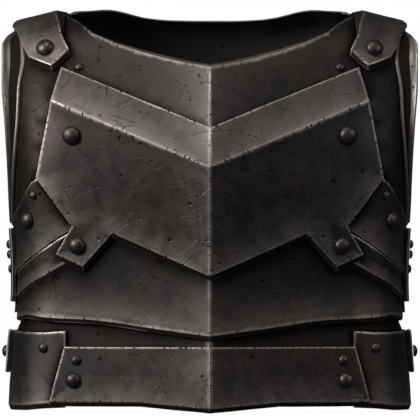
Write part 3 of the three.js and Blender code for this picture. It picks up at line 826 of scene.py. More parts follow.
for node, make in (("breast_shell", breast_shell), ("back_shell", back_shell)):
    shell = make()
    for side in (-1, 1):
        cut(shell, armhole_cutter(side))
    pieces[node] = shell
    print(node, "has", len(shell.data.polygons), "faces")

# %% [markdown]
# ## Plates on the flanks
# A smaller plate closes the side below each armhole, and a band steps down from it.

# %% Flank plate, its band, and the plate behind it
SEAM_AT = 0.9965


def side_rows(form, offset, columns, rows):
    """Pattern rows: each column is a real x, or a share of the way round when it is given as a text."""
    made = []
    for row in rows:
        made.append([])
        for column, z in zip(columns, row):
            if isinstance(column, str):
                way_up = z if form is HIPS else float(np.interp(up_at(BODY, z), PATH_UPS, PATH))
                made[-1].append((float(column) * GIRTH, way_up))
            else:
                made[-1].append(on_pattern(form, 0, column, z, offset, 0.75))
    return made


def side_plate(name, form, offset, thick, columns, rows, cuts, drop=0):
    piece = cage(name, side_rows(form, offset, columns, rows))
    subdivide(piece, cuts)
    thicken(piece, thick)
    if drop:
        bottom = side_rows(form, offset, columns, rows[:1])[0]
        foot(piece, lambda v: on_line(v.x, v.z, bottom), drop, thick)
    file_edges(piece, 0.8)
    wear_marks(piece, len(name), edges=44, faces=16)
    return dent(hammer(piece, bend_round(form, offset)), 0.35)


def add_pair(name, piece):
    piece.name = piece.data.name = "forged_" + name + "_left"
    pieces[name + "_left"] = piece
    pieces[name + "_right"] = reflected(piece, name + "_right")
    print(name, "pair:", len(piece.data.polygons), "faces each")


FLANK_COLUMNS = [141, 171.6, 186.1, 198, str(SEAM_AT)]
add_pair("flank_plate", side_plate(
    "flank_plate", BODY, GAP + SHEET["flank"], SHEET["flank"], FLANK_COLUMNS,
    [(193, 173.4, 163, 153, 145.5), (220, 212, 202, 188, 168), (250, 250, 241, 219, 194)], 9))
add_pair("flank_band", side_plate(
    "flank_band", BODY, GAP + SHEET["flank_band"], SHEET["flank_band"], FLANK_COLUMNS,
    [(161.5, 144.5, 137, 127, 117), (191.3, 172.2, 161.8, 151.5, 144)], 9, drop=4))
add_pair("flank_back_plate", side_plate(
    "flank_back_plate", BODY, GAP + SHEET["flank"], SHEET["flank"], ["1.0035", "1.1", "1.2", "1.298"],
    [(104,) * 4, (148,) * 4, (192,) * 4], 9))

# %% [markdown]
# ## The belt
# A plain band closes the waist. On it lie a plate for each hip, a keeled plate in front and one behind.

# %% Waist bands, hip plates and belt plates
def waist_band(name, centre):
    columns = [0, 0.25, 0.5, 0.7, 0.85, SEAM_AT]
    rows = [[(a * GIRTH, z) for a in columns] for z in (14, 60, 108)]
    piece = subdivide(mirror(cage(name, rows)), 9)
    if centre == 0:
        fold_line(piece, lambda v: abs(v.x) < 0.05, 1.1)
    thicken(piece, SHEET["band"])
    file_edges(piece, 0.6)
    wear_marks(piece, 11 + centre, edges=20, faces=30)
    return dent(hammer(piece, bend_round(HIPS, 0, centre)), 0.4)


def belt_plate(name, behind):
    outer = OVER_HIP + SHEET["belt"]
    rows = [
        [(0, 6), (73, 12.6), (120, 12.6), (167.3, 12.6)],
        [(0, 40), (70, 41), (115, 41), (160, 40)],
        [(0, 69.7), (66, 69.7), (110, 69.7), (151.8, 69.7)],
    ]
    piece = subdivide(mirror(cage(name, rows)), 11)
    if not behind:
        fold_line(piece, lambda v: abs(v.x) < 0.05, 1.1)
    thicken(piece, SHEET["belt"])
    foot(piece, lambda v: on_line(abs(v.x), v.z, rows[0]), 5.2, SHEET["belt"])
    file_edges(piece, 0.8)
    wear_marks(piece, 7 + behind, edges=110, faces=60, cracks=[
        (-84, 62, -0.8, 3), (-30, 30, 0.4, 3), (50, 52, -1.0, 4), (104, 22, 1.2, 3), (-3, 36, 2.8, 1)])
    return dent(hammer(piece, bend_front(HIPS, outer, behind)), 0.35)


for name, centre in (("waist_band", 0), ("waist_band_back", 2)):
    pieces[name] = waist_band(name, centre)
for name, behind in (("belt_front_plate", False), ("belt_back_plate", True)):
    pieces[name] = belt_plate(name, behind)
add_pair("hip_plate", side_plate(
    "hip_plate", HIPS, GAP + SHEET["hip"], SHEET["hip"],
    [150, 172, 192, "0.9", "1.0", "1.1", "1.24", "1.378"],
    [(12, 11, 9, 8.5, 8, 8, 8, 8), (46,) * 8, (86, 84.5, 85, 85.5, 85.5, 85.5, 85.5, 85.5)], 9, drop=6))
print("the belt has", len([n for n in pieces if "band" in n or "belt" in n or "hip" in n]), "pieces")

# %% [markdown]
# ## Straps, clasps and lugs
# A strap is a thick bar bent over the shoulder, with a pointed end in front and behind. Clasps and lugs
# are short thick plates on the sides.

# %% Shoulder straps
STRAP_OUT = 2.4 + SHEET["strap"]
SHOULDER_HALF = 202.5
BEND_FROM, BEND_TO = RIDGE_PATH - 14, RIDGE_PATH + 14
WALL_WIDER = 9


def shoulder_strap():
    def spot(x, z, over=False):
        return on_pattern(BODY, 0, x, z, STRAP_OUT, 0.75, over)

    def across(x):
        share = np.linspace(0, 1, 2000)
        return float(np.interp(x, across_at(share, SHOULDER_HALF), share)) * GIRTH

    def on_top(way_up, inner, middle, outer):
        """A row on the shoulder: two real x, and a share of the way round for the outer corner."""
        return [(across(inner), way_up), (across(middle), way_up), (outer * GIRTH, way_up)]

    front = [spot(147.5, 380), spot(165.5, 363.5), spot(190.5, 373)]
    rows = [
        front,
        [spot(155, 396), spot(178, 394), spot(202, 399)],
        on_top(BEND_FROM, 160, 182, 0.95),
        on_top(RIDGE_PATH, 160, 182, 0.98),
        on_top(BEND_TO, 158, 180, 0.98),
        [spot(152, 385, True), spot(172, 382, True), spot(203, 392, True)],
        [spot(146, 358.5, True), spot(163, 343.5, True), spot(186, 354.5, True)],
    ]
    piece = subdivide(cage("shoulder_strap", rows), 9)
    thicken(piece, SHEET["strap"])
    foot(piece, lambda v: on_line(v.x, v.z, front), 4.5, SHEET["strap"])
    inner = [row[0] for row in rows[1:-1]]
    points = read_points(piece)
    wall = [i for i, v in enumerate(points) if v[1] > SHEET["strap"] - 0.01 and on_line(v[0], v[2], inner)]
    ways = [inner[0][1], BEND_FROM, BEND_TO, inner[-1][1]]
    points[wall, 0] -= np.interp(points[wall, 2], ways, [0, WALL_WIDER, WALL_WIDER, 0])
    write_points(piece, points)
    for face in piece.data.polygons:
        if face.material_index == RIM and face.normal.x < -0.35 and face.normal.y > 0.3:
            face.material_index = FACE
    file_edges(piece, 0.9)
    wear_marks(piece, 5, edges=50, faces=26)
    return dent(hammer(piece, bend_round(BODY, STRAP_OUT)), 0.4)


add_pair("shoulder_strap", shoulder_strap())

# %% Side clasps and hip lugs
def side_block(name, form, offset, thick, ys, heights):
    rows = [[on_pattern(form, 1, y, z, offset, 1.0) for y in ys] for z in heights]
    piece = subdivide(cage(name, rows), 5)
    thicken(piece, thick)
    file_edges(piece, 1.2)
    wear_marks(piece, len(name), edges=12, faces=4)
    return hammer(piece, bend_round(form, offset))


add_pair("side_clasp", side_block(
    "side_clasp", BODY, OVER_FLANK + SHEET["clasp"], SHEET["clasp"],
    (-34, -17, 0, 17, 34), (116, 142, 168, 193)))
add_pair("hip_lug", side_block(
    "hip_lug", HIPS, OVER_HIP + SHEET["lug"], SHEET["lug"], (-22, -8, 4, 14), (42, 57, 72, 87)))

# %% [markdown]
# ## Collars round the armholes
# Each collar is one ring: a rolled bead on the shell, a groove, and a wall that stands out to a thin lip.
# A torus has the right mesh for it, so its small circle is moved to the collar's profile.

# %% Armhole collars
COLLAR = dict(wall=3.2, bead=4, bead_rise=4.4, seat=1, flare=1.5, clearance=0.5)
# the height of the collar's lip, and its distance from the keel there
LIP = np.array([(180, 210), (240, 211.6), (270, 212.8), (306, 215), (335, 217.6), (380, 218.3), (387, 218),
                (394, 213), (399, 206)])
COLLAR_STATIONS = 120
BRIGHT_STEPS, GROOVE_STEPS = (4, 12, 13), (6, 7, 8)


def collar_profiles(angles):
    """For each angle round the armhole, the collar's profile as pairs of (grow, distance from the keel)."""
    c = COLLAR

    def surface(grow):
        y, z = armhole_at(angles, np.full(angles.shape, grow))
        on_skin = np.zeros(z.shape)
        around, up = locate(BODY, 1, y, z, on_skin, np.where(y < 0, 0.9, 1.1))
        return standing(BODY, around, up, on_skin)[:, 0]

    _, z0 = armhole_at(angles, 0)
    lip = np.interp(z0, LIP[:, 0], LIP[:, 1])
    under = surface(-c["clearance"])
    inner = under - SHEET["shell"] - 2
    bead = surface(c["bead"])
    wall = -c["clearance"]
    return [
        (wall, inner),
        (wall, under + c["seat"]),
        (c["bead"], bead + c["seat"]),
        (c["bead"] + 0.2, bead + c["bead_rise"] * 0.6),
        (c["bead"] - 0.8, bead + c["bead_rise"] * 0.92),
        (c["bead"] * 0.45, bead + c["bead_rise"]),
        (1.0, bead + c["bead_rise"] * 0.86),
        (0.2, bead + c["bead_rise"] * 0.45),
        (wall - 0.2, bead + c["bead_rise"] * 0.9),
        (wall, (under + lip) / 2 + 1.5),
        (wall + 0.2, lip - 5.5),
        (0.7, lip - 3.4),
        (c["flare"], lip - 1.8),
        (c["flare"] * 0.9, lip - 0.7),
        (0.2, lip - 0.1),
        (-1.4, lip),
        (wall - c["wall"] + 0.4, lip - 0.7),
        (wall - c["wall"], lip - 2.2),
        (wall - c["wall"], inner),
    ]


def arm_collar():
    stations = COLLAR_STATIONS
    angles = np.arange(stations) * 2 * math.pi / stations
    profile = collar_profiles(angles)
    clear_selection()
    bpy.ops.mesh.primitive_torus_add(major_segments=stations, minor_segments=len(profile))
    piece = bpy.context.object
    piece.name = piece.data.name = "arm_collar"
    points = []
    for i in range(stations):
        for grow, reach in profile:
            y, z = armhole_at(angles[i], grow)
            points.append((reach[i], y + SET_BACK, z))
    write_points(piece, points)
    for part in PARTS:
        piece.data.materials.append(bpy.data.materials[part])
    for face in piece.data.polygons:
        step = face.index % len(profile)
        face.material_index = EDGE if step in BRIGHT_STEPS else RIM if step in GROOVE_STEPS else FACE
    edit(piece)
    bpy.ops.mesh.select_all(action="SELECT")
    bpy.ops.mesh.normals_make_consistent(inside=False)
    return leave(piece)


add_pair("arm_collar", arm_collar())

# %% [markdown]
# ## Rivets
# A rivet's head is a dome, a little flattened at the top by the hammer. One is modelled from a sphere
# that is cut flat, and every rivet is a copy with its own mesh, turned to stand on its sheet.

# %% One rivet, and its copies
FACES = dict(shell=0, flank=GAP + SHEET["flank"], chest=OVER_FLANK + SHEET["chest"], strap=STRAP_OUT,
             clasp=OVER_FLANK + SHEET["clasp"], hip=GAP + SHEET["hip"], belt=OVER_HIP + SHEET["belt"],
             lug=OVER_HIP + SHEET["lug"])
# name, axis of the first place (0 for x, 1 for y), that place, height, radius, face, form, start
RIVETS = [
    ("strap_rivet", 0, 172, 381, 9.5, "strap", BODY, 0.6),
    ("chest_rivet", 0, 144, 289.5, 9.8, "chest", BODY, 0.6),
    ("tab_rivet", 0, 138, 174.5, 8.9, "chest", BODY, 0.6),
    ("flank_rivet", 0, 190, 201, 8.6, "flank", BODY, 0.6),
    ("flank_small_rivet", 0, 184, 227, 4.5, "flank", BODY, 0.6),
    ("neck_rivet", 0, 136.3, 361, 4.7, "shell", BODY, 0.6),
    ("clasp_upper_rivet", 1, -17, 176, 4.7, "clasp", BODY, 0.93),
    ("clasp_lower_rivet", 1, -17, 165.5, 4.7, "clasp", BODY, 0.93),
    ("clasp_back_rivet", 1, 17, 150, 4.7, "clasp", BODY, 1.07),
    ("strap_back_rivet", 0, 166, 362, 9, "strap", BODY, 1.4),
    ("hip_rivet", 0, 173.5, 68.5, 5.2, "hip", HIPS, 0.6),
    ("belt_small_rivet", 0, 139, 55.8, 5.2, "belt", HIPS, 0.6),
    ("belt_rivet", 0, 142, 34.8, 7.9, "belt", HIPS, 0.6),
    ("belt_back_rivet", 0, 142, 40, 7.9, "belt", HIPS, 1.4),
    ("lug_rivet", 1, -9, 64, 6.2, "lug", HIPS, 0.93),
]
RIVET_RISE = 0.66
RIVET_FOOT = -0.12


def rivet_head():
    clear_selection()
    bpy.ops.mesh.primitive_uv_sphere_add(segments=32, ring_count=20, radius=1)
    head = bpy.context.object
    head.name = "rivet_head"
    edit(head)
    bpy.ops.mesh.select_all(action="SELECT")
    bpy.ops.mesh.bisect(plane_co=(0, 0, RIVET_FOOT), plane_no=(0, 0, 1), use_fill=True, clear_inner=True)
    bpy.ops.mesh.select_all(action="SELECT")
    bpy.ops.transform.resize(value=(1, 1, RIVET_RISE))
    return leave(head)


def seat(first, place, z, face, form, start):
    around, up = locate(form, first, place, z, np.float64(FACES[face]), start)
    point = standing(form, around, up, np.float64(FACES[face]))
    return Vector(point) + Vector((0, SET_BACK, 0)), Vector(outwards(form, around, up))


head = rivet_head()
for name, first, place, z, radius, face, form, start in RIVETS:
    where, normal = seat(first, place, z, face, form, start)
    copy = head.copy()
    copy.data = head.data.copy()
    bpy.context.scene.collection.objects.link(copy)
    turn = normal.to_track_quat("Z", "Y").to_matrix().to_4x4()
    copy.data.transform(Matrix.Translation(where * MM) @ turn @ Matrix.Scale(radius * MM, 4))
    add_pair(name, copy)
bpy.data.objects.remove(head)

# %% [markdown]
# ## Steel
# The steel is dark from the forge, lighter where hands and cloth have worn it, and lighter under a painted
# highlight.
# Four effects are shared by all of its finishes, so each is a node group: the tone of the scale, small pits,
# hairline cracks, and the wear of edges. Attributes on the mesh say how near a place is to an edge, and where
# a highlight and a shade are painted.

# %% Node groups
def colour(r, g, b):
    """A linear colour from an sRGB one in 0 to 255."""
    return tuple(c / 255 / 12.92 if c < 11 else ((c / 255 + 0.055) / 1.055) ** 2.4 for c in (r, g, b)) + (1,)


class Wiring:
    """Adds nodes and links them; a value that is a socket is linked, and any other is set."""

    def __init__(self, tree):
        self.tree = tree

    def add(self, kind, inputs=None, **settings):
        node = self.tree.nodes.new(kind)
        for key, value in settings.items():
            setattr(node, key, value)
        for key, value in (inputs or {}).items():
            if isinstance(value, bpy.types.NodeSocket):
                self.tree.links.new(value, node.inputs[key])
            else:
                node.inputs[key].default_value = value
        return node

    def math(self, operation, a, b=0.0, clamp=False):
        node = self.add("ShaderNodeMath", {0: a, 1: b}, operation=operation, use_clamp=clamp)
        return node.outputs[0]

    def ramp(self, value, low, high, to_low=0.0, to_high=1.0, smoothly=True):
        node = self.add(
            "ShaderNodeMapRange",
            {"Value": value, "From Min": low, "From Max": high, "To Min": to_low, "To Max": to_high},
            interpolation_type="SMOOTHSTEP" if smoothly else "LINEAR", clamp=True)
        return node.outputs["Result"]

    def mix(self, share, a, b):
        node = self.add("ShaderNodeMix", data_type="RGBA")
        for key, value in (("Factor_Float", share), ("A_Color", a), ("B_Color", b)):
            socket = next(s for s in node.inputs if s.identifier == key)
            if isinstance(value, bpy.types.NodeSocket):
                self.tree.links.new(value, socket)
            else:
                socket.default_value = value
        return next(s for s in node.outputs if s.identifier == "Result_Color")

    def noise(self, vector, scale, detail=3.0, rough=0.55, distort=0.0):
        return self.add("ShaderNodeTexNoise", {"Vector": vector, "Scale": scale, "Detail": detail,
                                               "Roughness": rough, "Distortion": distort}).outputs["Fac"]


def node_group(name, inputs, outputs, build):
    tree = bpy.data.node_groups.new(name, "ShaderNodeTree")
    kinds = {"f": "NodeSocketFloat", "v": "NodeSocketVector", "c": "NodeSocketColor"}
    for title, kind, value in inputs:
        socket = tree.interface.new_socket(name=title, in_out="INPUT", socket_type=kinds[kind])
        if value is not None:
            socket.default_value = value
    for title, kind in outputs:
        tree.interface.new_socket(name=title, in_out="OUTPUT", socket_type=kinds[kind])
    w = Wiring(tree)
    start, end = tree.nodes.new("NodeGroupInput"), tree.nodes.new("NodeGroupOutput")
    for title, socket in build(w, start.outputs).items():
        tree.links.new(socket, end.inputs[title])
    return tree


def build_pits(w, given):
    cells = w.add("ShaderNodeTexVoronoi", {"Vector": given["Vector"], "Scale": given["Scale"]})
    spread = w.add("ShaderNodeSeparateColor", {"Color": cells.outputs["Color"]})
    size = w.ramp(spread.outputs[1], 0, 1, 0.05, 0.26, smoothly=False)
    chosen = w.math("GREATER_THAN", given["Share"], spread.outputs[0])
    near = w.math("SUBTRACT", size, cells.outputs["Distance"])
    hole = w.math("MULTIPLY", w.ramp(near, 0.0, 0.09), chosen)
    return {"Mask": hole}


def build_cracks(w, given):
    bent = w.noise(given["Vector"], 26.0, 2.0)
    shift = w.add("ShaderNodeVectorMath", {0: given["Vector"], 1: (0, 0, 0)}, operation="ADD")
    offset = w.add("ShaderNodeCombineXYZ", {
        0: w.math("MULTIPLY", bent, 0.02), 2: w.math("MULTIPLY", bent, 0.014)})
    w.tree.links.new(offset.outputs[0], shift.inputs[1])
    cells = w.add("ShaderNodeTexVoronoi", {"Vector": shift.outputs[0], "Scale": given["Scale"]},
                  feature="DISTANCE_TO_EDGE")
    line = w.ramp(cells.outputs["Distance"], 0.0, given["Width"], 1.0, 0.0)
    patch = w.ramp(w.noise(given["Vector"], 38.0, 1.5), 0.46, 0.56)
    return {"Mask": w.math("MULTIPLY", line, patch)}


def build_tone(w, given):
    broad = w.noise(given["Vector"], 9.0, 4.0, 0.6)
    fine = w.noise(given["Vector"], 70.0, 5.0, 0.65)
    warm = w.ramp(broad, 0.36, 0.66)
    first = w.mix(warm, given["Cool"], given["Warm"])
    both = w.math("ADD", w.math("MULTIPLY", broad, 0.55), w.math("MULTIPLY", fine, 0.45))
    light = w.ramp(both, 0.3, 0.7, 0.85, 1.14)
    scaled = w.add("ShaderNodeVectorMath", {0: first}, operation="SCALE")
    w.tree.links.new(light, scaled.inputs["Scale"])
    return {"Color": scaled.outputs[0], "Fine": fine}


def build_wear(w, given):
    broken = w.noise(given["Vector"], 120.0, 4.0, 0.7)
    large = w.noise(given["Vector"], 22.0, 2.0, 0.5)
    share = w.math("ADD", w.math("MULTIPLY", broken, 0.6), w.math("MULTIPLY", large, 0.4))
    reach = w.math("ADD", given["Near"], w.ramp(share, 0.3, 0.7, -0.35, 0.3, smoothly=False))
    return {"Mask": w.ramp(reach, 0.35, 1.0)}


PITS = node_group("pits", [("Vector", "v", None), ("Scale", "f", 90.0), ("Share", "f", 0.3)],
                  [("Mask", "f")], build_pits)
CRACKS = node_group("hairline cracks", [("Vector", "v", None), ("Scale", "f", 16.0), ("Width", "f", 0.02)],
                    [("Mask", "f")], build_cracks)
TONE = node_group("scale tone", [("Vector", "v", None), ("Cool", "c", None), ("Warm", "c", None)],
                  [("Color", "c"), ("Fine", "f")], build_tone)
WEAR = node_group("edge wear", [("Vector", "v", None), ("Near", "f", 0.0)], [("Mask", "f")], build_wear)
print("node groups:", [g.name for g in bpy.data.node_groups])

# %% [markdown]
# ## Finishes
# One material function serves all the finishes. It lays the tone of the scale first, then brightens worn
# edges and places under a painted highlight, partly wear from rubbing, and then puts each dark effect over
# it: pits, specks, cracks, scratches and painted shade.
# The same masks make the surface a little lower in a bump, so that a pit is dark and also catches light.

# %% What darkens the steel, and the finishes
# how strongly each effect covers the steel, and its colour; the last one is painted shade
STAINS_AND_SHADE = dict(pits=(0.7, (22, 14, 10)), specks=(0.45, (28, 20, 16)), cracks=(0.6, (20, 14, 11)),
              scratches=(0.3, (30, 24, 20)), grime=(0.92, (18, 13, 10)))


def steel(name, cool, warm, worn, rough=0.44, metal=0.92, pit_share=0.3, rub=0.5):
    material = bpy.data.materials.new(name)
    material.use_nodes = True
    tree = material.node_tree
    tree.nodes.clear()
    w = Wiring(tree)

    def place(group, **inputs):
        node = w.add("ShaderNodeGroup", node_tree=group)
        for key, value in inputs.items():
            if isinstance(value, bpy.types.NodeSocket):
                tree.links.new(value, node.inputs[key])
            else:
                node.inputs[key].default_value = value
        return node.outputs

    where = w.add("ShaderNodeTexCoord").outputs["Object"]
    near_edge = w.add("ShaderNodeAttribute", attribute_name="worn").outputs["Fac"]
    # this attribute is painted shade below and above the edges of sheets that lie on top
    corner = w.add("ShaderNodeAttribute", attribute_name="grime").outputs["Fac"]
    # this attribute is a painted highlight, partly wear from rubbing
    rubbed_and_lit = w.add("ShaderNodeAttribute", attribute_name="rub").outputs["Fac"]
    tone = place(TONE, Vector=where, Cool=colour(*cool), Warm=colour(*warm))
    wear = place(WEAR, Vector=where, Near=near_edge)["Mask"]
    pits = place(PITS, Vector=where, Scale=95.0, Share=pit_share)["Mask"]
    specks = place(PITS, Vector=where, Scale=240.0, Share=pit_share * 0.7)["Mask"]
    cracks = place(CRACKS, Vector=where, Scale=17.0, Width=0.007)["Mask"]
    scratch = place(CRACKS, Vector=where, Scale=41.0, Width=0.012)["Mask"]
    # the painted highlight mixes the tone towards the worn colour, patchy with the fine noise
    patchy = w.math("MULTIPLY", rubbed_and_lit, w.ramp(tone["Fine"], 0.3, 0.62, 0.82, 1.0))
    body = w.mix(w.math("MULTIPLY", patchy, rub), tone["Color"], colour(*worn))
    body = w.mix(wear, body, colour(*worn))
    masks = dict(pits=pits, specks=specks, cracks=cracks, scratches=scratch, grime=corner)
    for effect, (strength, dark) in STAINS_AND_SHADE.items():
        body = w.mix(w.math("MULTIPLY", masks[effect], strength), body, colour(*dark))
    fine = w.ramp(tone["Fine"], 0.3, 0.7, rough - 0.05, rough + 0.08)
    roughness = w.math("ADD", fine, w.math("MULTIPLY", corner, 0.25))
    depth = w.math("MULTIPLY", pits, -1.0)
    for mask, height in ((cracks, -0.4), (scratch, -0.2), (specks, -0.3), (tone["Fine"], 0.35)):
        depth = w.math("ADD", depth, w.math("MULTIPLY", mask, height))
    bump = w.add("ShaderNodeBump", {"Height": depth, "Strength": 0.5, "Distance": 0.0008})
    shader = w.add("ShaderNodeBsdfPrincipled", {
        "Base Color": body, "Roughness": roughness, "Metallic": metal, "Normal": bump.outputs[0]})
    w.add("ShaderNodeOutputMaterial", {"Surface": shader.outputs[0]})
    return material


# the third colour is worn steel, and also the colour of the painted highlight
FINISH = {
    "face": steel("forged steel", (77, 74, 73), (82, 75, 71), (178, 169, 162), rub=0.6),
    "shell": steel("shell steel", (68, 65, 64), (72, 66, 62), (172, 163, 156), rub=0.58),
    "strap": steel("strap steel", (122, 117, 115), (124, 115, 109), (184, 174, 166)),
    "collar": steel("collar steel", (146, 139, 134), (148, 137, 129), (184, 174, 166)),
    # the sawn edge's dark brown is rust and painted shade of the feet under the plates
    "rim": steel("sawn edge with rust and painted shade", (30, 22, 17), (36, 25, 18), (52, 40, 32), rough=0.65, metal=0.5),
    "edge": steel("worn edge", (142, 131, 122), (150, 135, 122), (198, 186, 176), rough=0.4, pit_share=0.5),
    "inside": steel("scaled inside", (84, 81, 78), (88, 81, 76), (100, 95, 90), rough=0.7, metal=0.3),
    "rivet": steel("rivet steel", (92, 87, 84), (98, 90, 84), (150, 142, 135), rough=0.42, pit_share=0.15),
}
print("finishes:", list(FINISH))

# %% [markdown]
# ## Wear, painted highlights and painted shade
# Wear is strong near a sheet's own edges. A wide painted highlight lies beside the keel, above the crease and
# above lower edges, partly wear where cloth and hands pass, and painted shade lies under the edge of each
# sheet that lies on top.

# %% Attributes on the mesh
def store(piece, name, values):
    attribute = piece.data.attributes.new(name, "FLOAT", "POINT")
    attribute.data.foreach_set("value", values.astype(np.float32))


def vertices_of(mesh, part):
    """The numbers of the vertices on the faces of one part: face, rim, edge or inside."""
    chosen = {v for p in mesh.polygons if p.material_index == part for v in p.vertices}
    return np.array(sorted(chosen), int)


def nearest(points, seeds):
    """For each point, the distance to its nearest seed, and how far the seed is above it."""
    tree = KDTree(len(seeds))
    for index, seed in enumerate(seeds):
        tree.insert(seed, index)
    tree.balance()
    found = [tree.find(point) for point in points]
    return (np.array([f[2] for f in found]), np.array([f[0].z for f in found]) - points[:, 2])


print("measured for each piece: worn, rub and grime")

# %% Which sheets lie on each sheet, and how far the painted shade below the edge of each one reaches
ABOVE = {
    "breast_shell": dict(chest_plate=15, flank_plate=8, flank_band=12, shoulder_strap=9, arm_collar=9),
    "back_shell": dict(flank_back_plate=8, shoulder_strap=9, arm_collar=9),
    "flank_plate": dict(chest_plate=9, side_clasp=5),
    "flank_band": dict(chest_plate=12, side_clasp=5),
    "waist_band": dict(breast_shell=22, belt_front_plate=9, hip_plate=9),
    "waist_band_back": dict(back_shell=22, belt_back_plate=9, hip_plate=9),
    "hip_plate": dict(belt_front_plate=7, belt_back_plate=7, hip_lug=5, breast_shell=9),
    "belt_front_plate": dict(breast_shell=9),
}
# reaches in millimetres: of edge wear, of the painted highlight above lower edges, and of the narrow painted
# shade above the edge of a sheet on top
WORN_REACH, RUB_AND_HIGHLIGHT_REACH, ABOVE_REACH = 1.6, 15.0, 3.4
# the painted highlight beside the keel: its reach, and its share on the right side, which the key light
# leaves in shade
KEEL_REACH, KEEL_SHADE = 24, 0.3
# reaches of the chest plate's painted highlight above the crease and its painted shade below it
CREASE_HIGHLIGHT, CREASE_SHADE = 14, 9


def covers_of(node):
    """The sheets on one sheet that are on its own side, and the reach of the painted shade below their edges.
    """
    stem, _, side = node.rpartition("_")
    sided = side in ("left", "right")
    for cover, reach in ABOVE.get(stem if sided else node, {}).items():
        sides = [side] if sided else ["left", "right"]
        for name in [cover] + [cover + "_" + s for s in sides]:
            if name in pieces:
                yield pieces[name], reach


print(len(ABOVE), "kinds of sheets have others on them")

# %% Wear, painted highlights and painted shade on every piece
for node, piece in pieces.items():
    points, mesh = read_points(piece), piece.data
    worn, rub, grime = np.zeros((3, len(points)))
    edges, rims = vertices_of(mesh, EDGE), vertices_of(mesh, RIM)
    if len(edges):
        worn = np.exp(-nearest(points, points[edges])[0] / WORN_REACH)
    # a painted highlight that grows towards a sheet's lower edges, partly wear from rubbing
    if len(rims):
        away, higher = nearest(points, points[rims])
        rub = np.exp(-away / RUB_AND_HIGHLIGHT_REACH) * smooth(0.1, 0.6, -higher / np.maximum(away, 1))
    # painted shade far below the edges of the sheets on top, and a narrow painted shade above them
    for over, reach in covers_of(node):
        seeds, rims = read_points(over), vertices_of(over.data, RIM)
        away, higher = nearest(points, seeds[rims] if len(rims) else seeds)
        reaches = np.where(higher > 0, reach, ABOVE_REACH)
        grime = np.maximum(grime, np.exp(-np.maximum(0, away - 3.0) / reaches))
    # a painted highlight beside the keel on the front, full on the lit left and weaker on the shaded right
    front = (points[:, 1] < 0) & ("rivet" not in node)
    keel = np.exp(-np.abs(points[:, 0]) / KEEL_REACH) * front
    keel = keel * np.where(points[:, 0] < 0, 1.0, KEEL_SHADE)
    # above the crease the upper band faces the light and gets a painted highlight; below it the face turns
    # down and gets painted shade
    if node == "chest_plate":
        over = points[:, 2] - crease_height(points[:, 0])
        rub = np.maximum(rub * (over < -30), np.where(over >= -0.2, np.exp(-over / CREASE_HIGHLIGHT), 0))
        grime = np.maximum(grime, np.where(over < -0.2, 0.7 * np.exp(over / CREASE_SHADE), 0))
    for name, values in (("worn", worn), ("rub", np.maximum(rub, keel)), ("grime", grime * (1 - worn))):
        store(piece, name, values)
print("worn edges, rubbed places and grime are on", len(pieces), "pieces")

# %% [markdown]
# ## Finish, slot and body
# Every piece now gets the finishes of its faces, smooth shading that keeps its filed edges crisp, and its
# place in the frame: the body it rides on, the slot of its colour, and the plain solid that it replaces.

# %% Each piece gets its finish, its slot and its body
SMOOTH_BELOW = 34


for node, piece in pieces.items():
    slots = piece.data.materials
    if "rivet" in node:
        slots.append(FINISH["rivet"])
    else:
        own = next((word for word in ("strap", "collar", "shell") if word in node), "face")
        for index, part in enumerate((own, "rim", "edge", "inside", "rim")):
            slots[index] = FINISH[part]
    alone(piece)
    bpy.ops.object.shade_smooth_by_angle(angle=math.radians(SMOOTH_BELOW))
    modify(piece, "WEIGHTED_NORMAL", keep_sharp=True, weight=60)
    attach(piece, "root")
    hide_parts(node)
print(len(pieces), "pieces stand for", len(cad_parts), "nodes")

# %% [markdown]
# ## Studio
# The floor and the backdrop are pale. A large soft light stands high on the left, and the right side is
# left to a weak one, so that the keel parts light from shade.

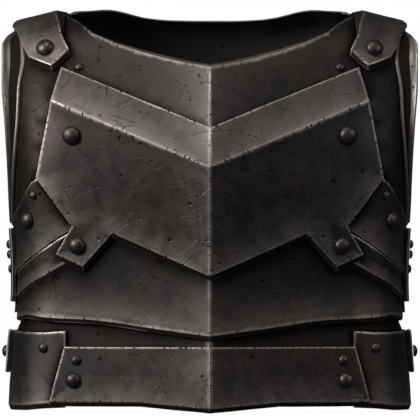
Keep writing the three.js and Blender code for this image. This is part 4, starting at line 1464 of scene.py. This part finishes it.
# %% The pale floor
low, high = (Vector(corner) for corner in cad_box)
centre = (low + high) / 2
clear_selection()
bpy.ops.mesh.primitive_plane_add(size=30, location=(0, 0, low.z - 0.0005))
floor = bpy.context.object
floor.name = "floor"
pale = bpy.data.materials.new("pale floor")
pale.use_nodes = True
pale_shader = pale.node_tree.nodes["Principled BSDF"]
pale_shader.inputs["Base Color"].default_value = (0.5, 0.5, 0.5, 1)
pale_shader.inputs["Emission Color"].default_value = (1, 1, 1, 1)
pale_shader.inputs["Emission Strength"].default_value = 0.96
floor.data.materials.append(pale)
floor.visible_glossy = floor.visible_diffuse = False
print("the floor lies at", round(floor.location.z, 4), "m")

# %% Lights
def softbox(name, place, size, power):
    data = bpy.data.lights.new(name, "AREA")
    data.shape, data.size, data.energy = "DISK", size, power
    light = bpy.data.objects.new(name, data)
    light.location = Vector(place)
    light.rotation_euler = (centre - light.location).to_track_quat("-Z", "Y").to_euler()
    bpy.context.scene.collection.objects.link(light)


# name: place in metres, size in metres, power in watts
LIGHTS = {
    "key light": ((-2.4, -1.5, 1.5), 1.5, 52),
    "fill light": ((2.4, -1.5, 1.6), 1.5, 11),
    "top light": ((-0.3, -1.3, 2.9), 1.4, 15),
}
for name, (place, size, power) in LIGHTS.items():
    softbox(name, place, size, power)
print("lights:", list(LIGHTS))

# %% Backdrop
world = bpy.data.worlds.new("studio")
bpy.context.scene.world = world
world.use_nodes = True
tree = world.node_tree
tree.nodes.clear()
sky = Wiring(tree)
path = sky.add("ShaderNodeLightPath")
dim = sky.add("ShaderNodeBackground", {"Color": (0.9, 0.93, 1, 1), "Strength": 0.035})
white = sky.add("ShaderNodeBackground", {"Color": (1, 1, 1, 1), "Strength": 1.0})
both = sky.add("ShaderNodeMixShader", {
    0: path.outputs["Is Camera Ray"], 1: dim.outputs[0], 2: white.outputs[0]})
sky.add("ShaderNodeOutputWorld", {"Surface": both.outputs[0]})
print("the backdrop is white to the camera and dim to the steel")

# %% Camera
camera_data = bpy.data.cameras.new("camera")
camera = bpy.data.objects.new("camera", camera_data)
bpy.context.scene.collection.objects.link(camera)
FRAME_WIDTH, DISTANCE, SENSOR = 0.441, 9.0, 36
ASIDE, EYE_HEIGHT = 0.0002, 0.212
camera_data.sensor_width = SENSOR
camera_data.lens = SENSOR * DISTANCE / FRAME_WIDTH
camera_data.clip_end = 60
camera.location = (ASIDE, centre.y - DISTANCE, EYE_HEIGHT)
camera.rotation_euler = (math.pi / 2, 0, 0)
bpy.context.scene.camera = camera
bpy.context.scene.view_settings.view_transform = "Standard"
print("camera at", tuple(round(c, 3) for c in camera.location))
